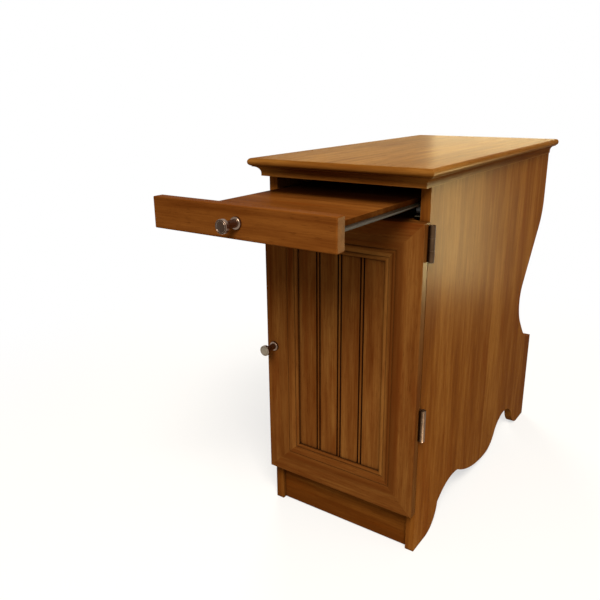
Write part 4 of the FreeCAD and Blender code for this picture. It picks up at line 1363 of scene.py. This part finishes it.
@dataclass
class Studio:
    """Floor, lamps, world and camera."""

    place: Triple = (0.5027, -0.9847, 0.7262)
    azimuth: float = 35.19
    elevation: float = 17.90
    roll: float = -0.63
    focal_pixels: float = 645.64
    frame_pixels: float = 600.0
    sensor: float = 36.0
    floor_reach: float = 30.0
    floor_pale: Colour = (0.92, 0.92, 0.91)
    floor_dim: Colour = (0.36, 0.34, 0.32)
    floor_white_share: float = 0.62
    floor_fade: Point2 = (0.45, 1.5)
    ambient: Colour = (1.0, 0.94, 0.86)
    ambient_strength: float = 0.27
    lamps: tuple[Lamp, ...] = (
        Lamp("key_lamp", (1.5, -2.08, 2.97), (0.0, -0.1, 0.35), 1.35, 172.0, WARM,
             spared=DOOR_NODES + TRAY_NODES),
        Lamp("door_lamp", (0.8, -2.2, 2.12), (0.0, -0.17, 0.30), 1.2, 78.0, WARM, lit=DOOR_NODES),
        Lamp("tray_lamp", (0.3, 0.72, 2.1), (0.0, -0.30, 0.58), 1.6, 82.0, (0.94, 1.0, 1.0), Reach.MATT,
             TRAY_NODES),
        Lamp("side_lamp", (2.0, 0.3, 1.0), (0.14, 0.1, 0.3), 1.0, 6.0, WARM, Reach.MATT),
        Lamp("sheen_lamp", (0.60, 0.68, 0.36), (0.14, -0.20, 0.565), 0.335, 145.0, (1.0, 0.87, 0.42),
             Reach.SHEEN, ("side_panel_right", "tray_front", "top_moulding_right", "top_board",
                           "door_stile_right")),
        Lamp("hinge_lamp", (0.281, -0.225, 0.045), (0.144, -0.165, 0.13), 0.08, 2.2, (0.90, 0.95, 1.0),
             Reach.SHEEN, ("hinge_side_leaf_lower", "hinge_door_leaf_lower", "hinge_pin_lower")),
        Lamp("foot_lamp", (0.33, -0.29, 0.03), (0.14, -0.13, 0.02), 0.10, 0.36, (0.92, 1.0, 1.0), Reach.MATT,
             ("side_panel_right",)),
        Lamp("rear_lamp", (-0.33, 2.0, 0.85), (0.0, 0.2, 0.63), 0.90, 34.0, (1.0, 0.80, 0.40), Reach.SHEEN,
             TOP_NODES),
        Lamp("far_lamp", (-1.25, 2.0, 0.90), (0.0, 0.0, 0.63), 0.90, 8.5, (1.0, 0.80, 0.36), Reach.SHEEN,
             TOP_NODES),
        Lamp("back_lamp", (-1.5, 1.9, 1.1), (0.0, 0.1, 0.35), 1.0, 34.0, (1.0, 0.94, 0.85), Reach.MATT),
    )

    def build(self) -> None:
        """Sets up the whole studio."""
        bpy.context.scene.view_settings.view_transform = "Standard"
        self._world()
        self._floor()
        for lamp in self.lamps:
            lamp.build()
        self._camera()

    @staticmethod
    def _seen(graph: Graph) -> Shade:
        """One for rays from the camera and for those that shiny and clear surfaces send on."""
        camera, glossy, clear = (graph.make("LightPath", {}, f"Is {ray} Ray") for ray in SEEN_RAYS)
        return (camera + glossy + clear).ramp(0.0, 1.0)

    def _world(self) -> None:
        """White for the eye, a soft warm light for the object."""
        graph = Graph(bpy.data.worlds.new("studio"))
        glow = graph.make("Background", {"Color": (*self.ambient, 1.0), "Strength": self.ambient_strength})
        white = graph.make("Background", {"Color": WHITE, "Strength": 1.0})
        mixed = graph.make("MixShader", {0: self._seen(graph), 1: glow, 2: white})
        bpy.context.scene.world = graph.end_in(mixed, "OutputWorld")

    def _floor(self) -> None:
        """A pale floor that keeps the object's shadow."""
        mesh = bmesh.new()
        bmesh.ops.create_grid(mesh, x_segments=1, y_segments=1, size=self.floor_reach)
        data = bpy.data.meshes.new("floor")
        mesh.to_mesh(data)
        mesh.free()
        floor = bpy.data.objects.new("floor", data)
        bpy.context.scene.collection.objects.link(floor)
        graph = Graph(bpy.data.materials.new("pale_floor"))
        seen = self._seen(graph)
        matt = graph.make("BsdfDiffuse", {"Color": graph.blend(seen, self.floor_dim, self.floor_pale)})
        white = graph.make("Emission", {"Color": WHITE, "Strength": 1.0})
        away = graph.make("VectorMath", {0: graph.place()}, "Value", operation="LENGTH")
        share = self.floor_white_share + away.ramp(*self.floor_fade) * (1.0 - self.floor_white_share)
        data.materials.append(graph.end_in(graph.make("MixShader", {0: seen * share, 1: matt, 2: white})))

    def _camera(self) -> None:
        """The camera where the photograph was taken from."""
        turn, lift, lean = (math.radians(a) for a in (self.azimuth, self.elevation, self.roll))
        right = Vector((math.cos(turn), math.sin(turn), 0.0))
        back = Vector((math.sin(turn) * math.cos(lift), -math.cos(turn) * math.cos(lift), math.sin(lift)))
        up = back.cross(right)
        side = math.cos(lean) * right + math.sin(lean) * up
        head = math.cos(lean) * up - math.sin(lean) * right
        data = bpy.data.cameras.new("camera")
        data.sensor_width = self.sensor
        data.lens = self.sensor * self.focal_pixels / self.frame_pixels
        camera = bpy.data.objects.new("camera", data)
        turned = Matrix((side, head, back)).transposed().to_4x4()
        camera.matrix_world = Matrix.Translation(self.place) @ turned
        bpy.context.scene.collection.objects.link(camera)
        bpy.context.scene.camera = camera


def main() -> None:
    """Builds the table's sub-assemblies and the studio."""
    logging.basicConfig(level=logging.INFO, format="%(name)s: %(message)s")
    assemblies = [Carcass(), Top(), Door(), Tray(), Knob("door_knob", PAINTED_PALE_REFLECTION_FACE),
                  Knob("tray_knob", PAINTED_DARK_REFLECTION_FACE, seed=52), Fittings()]
    for end in ("front", "rear"):
        assemblies += [Roller(f"{end}_roller_{side.word}") for side in Side]
    for assembly in assemblies + [Studio()]:
        assembly.build()
    bpy.context.view_layer.update()


if __name__ == "__main__":
    main()
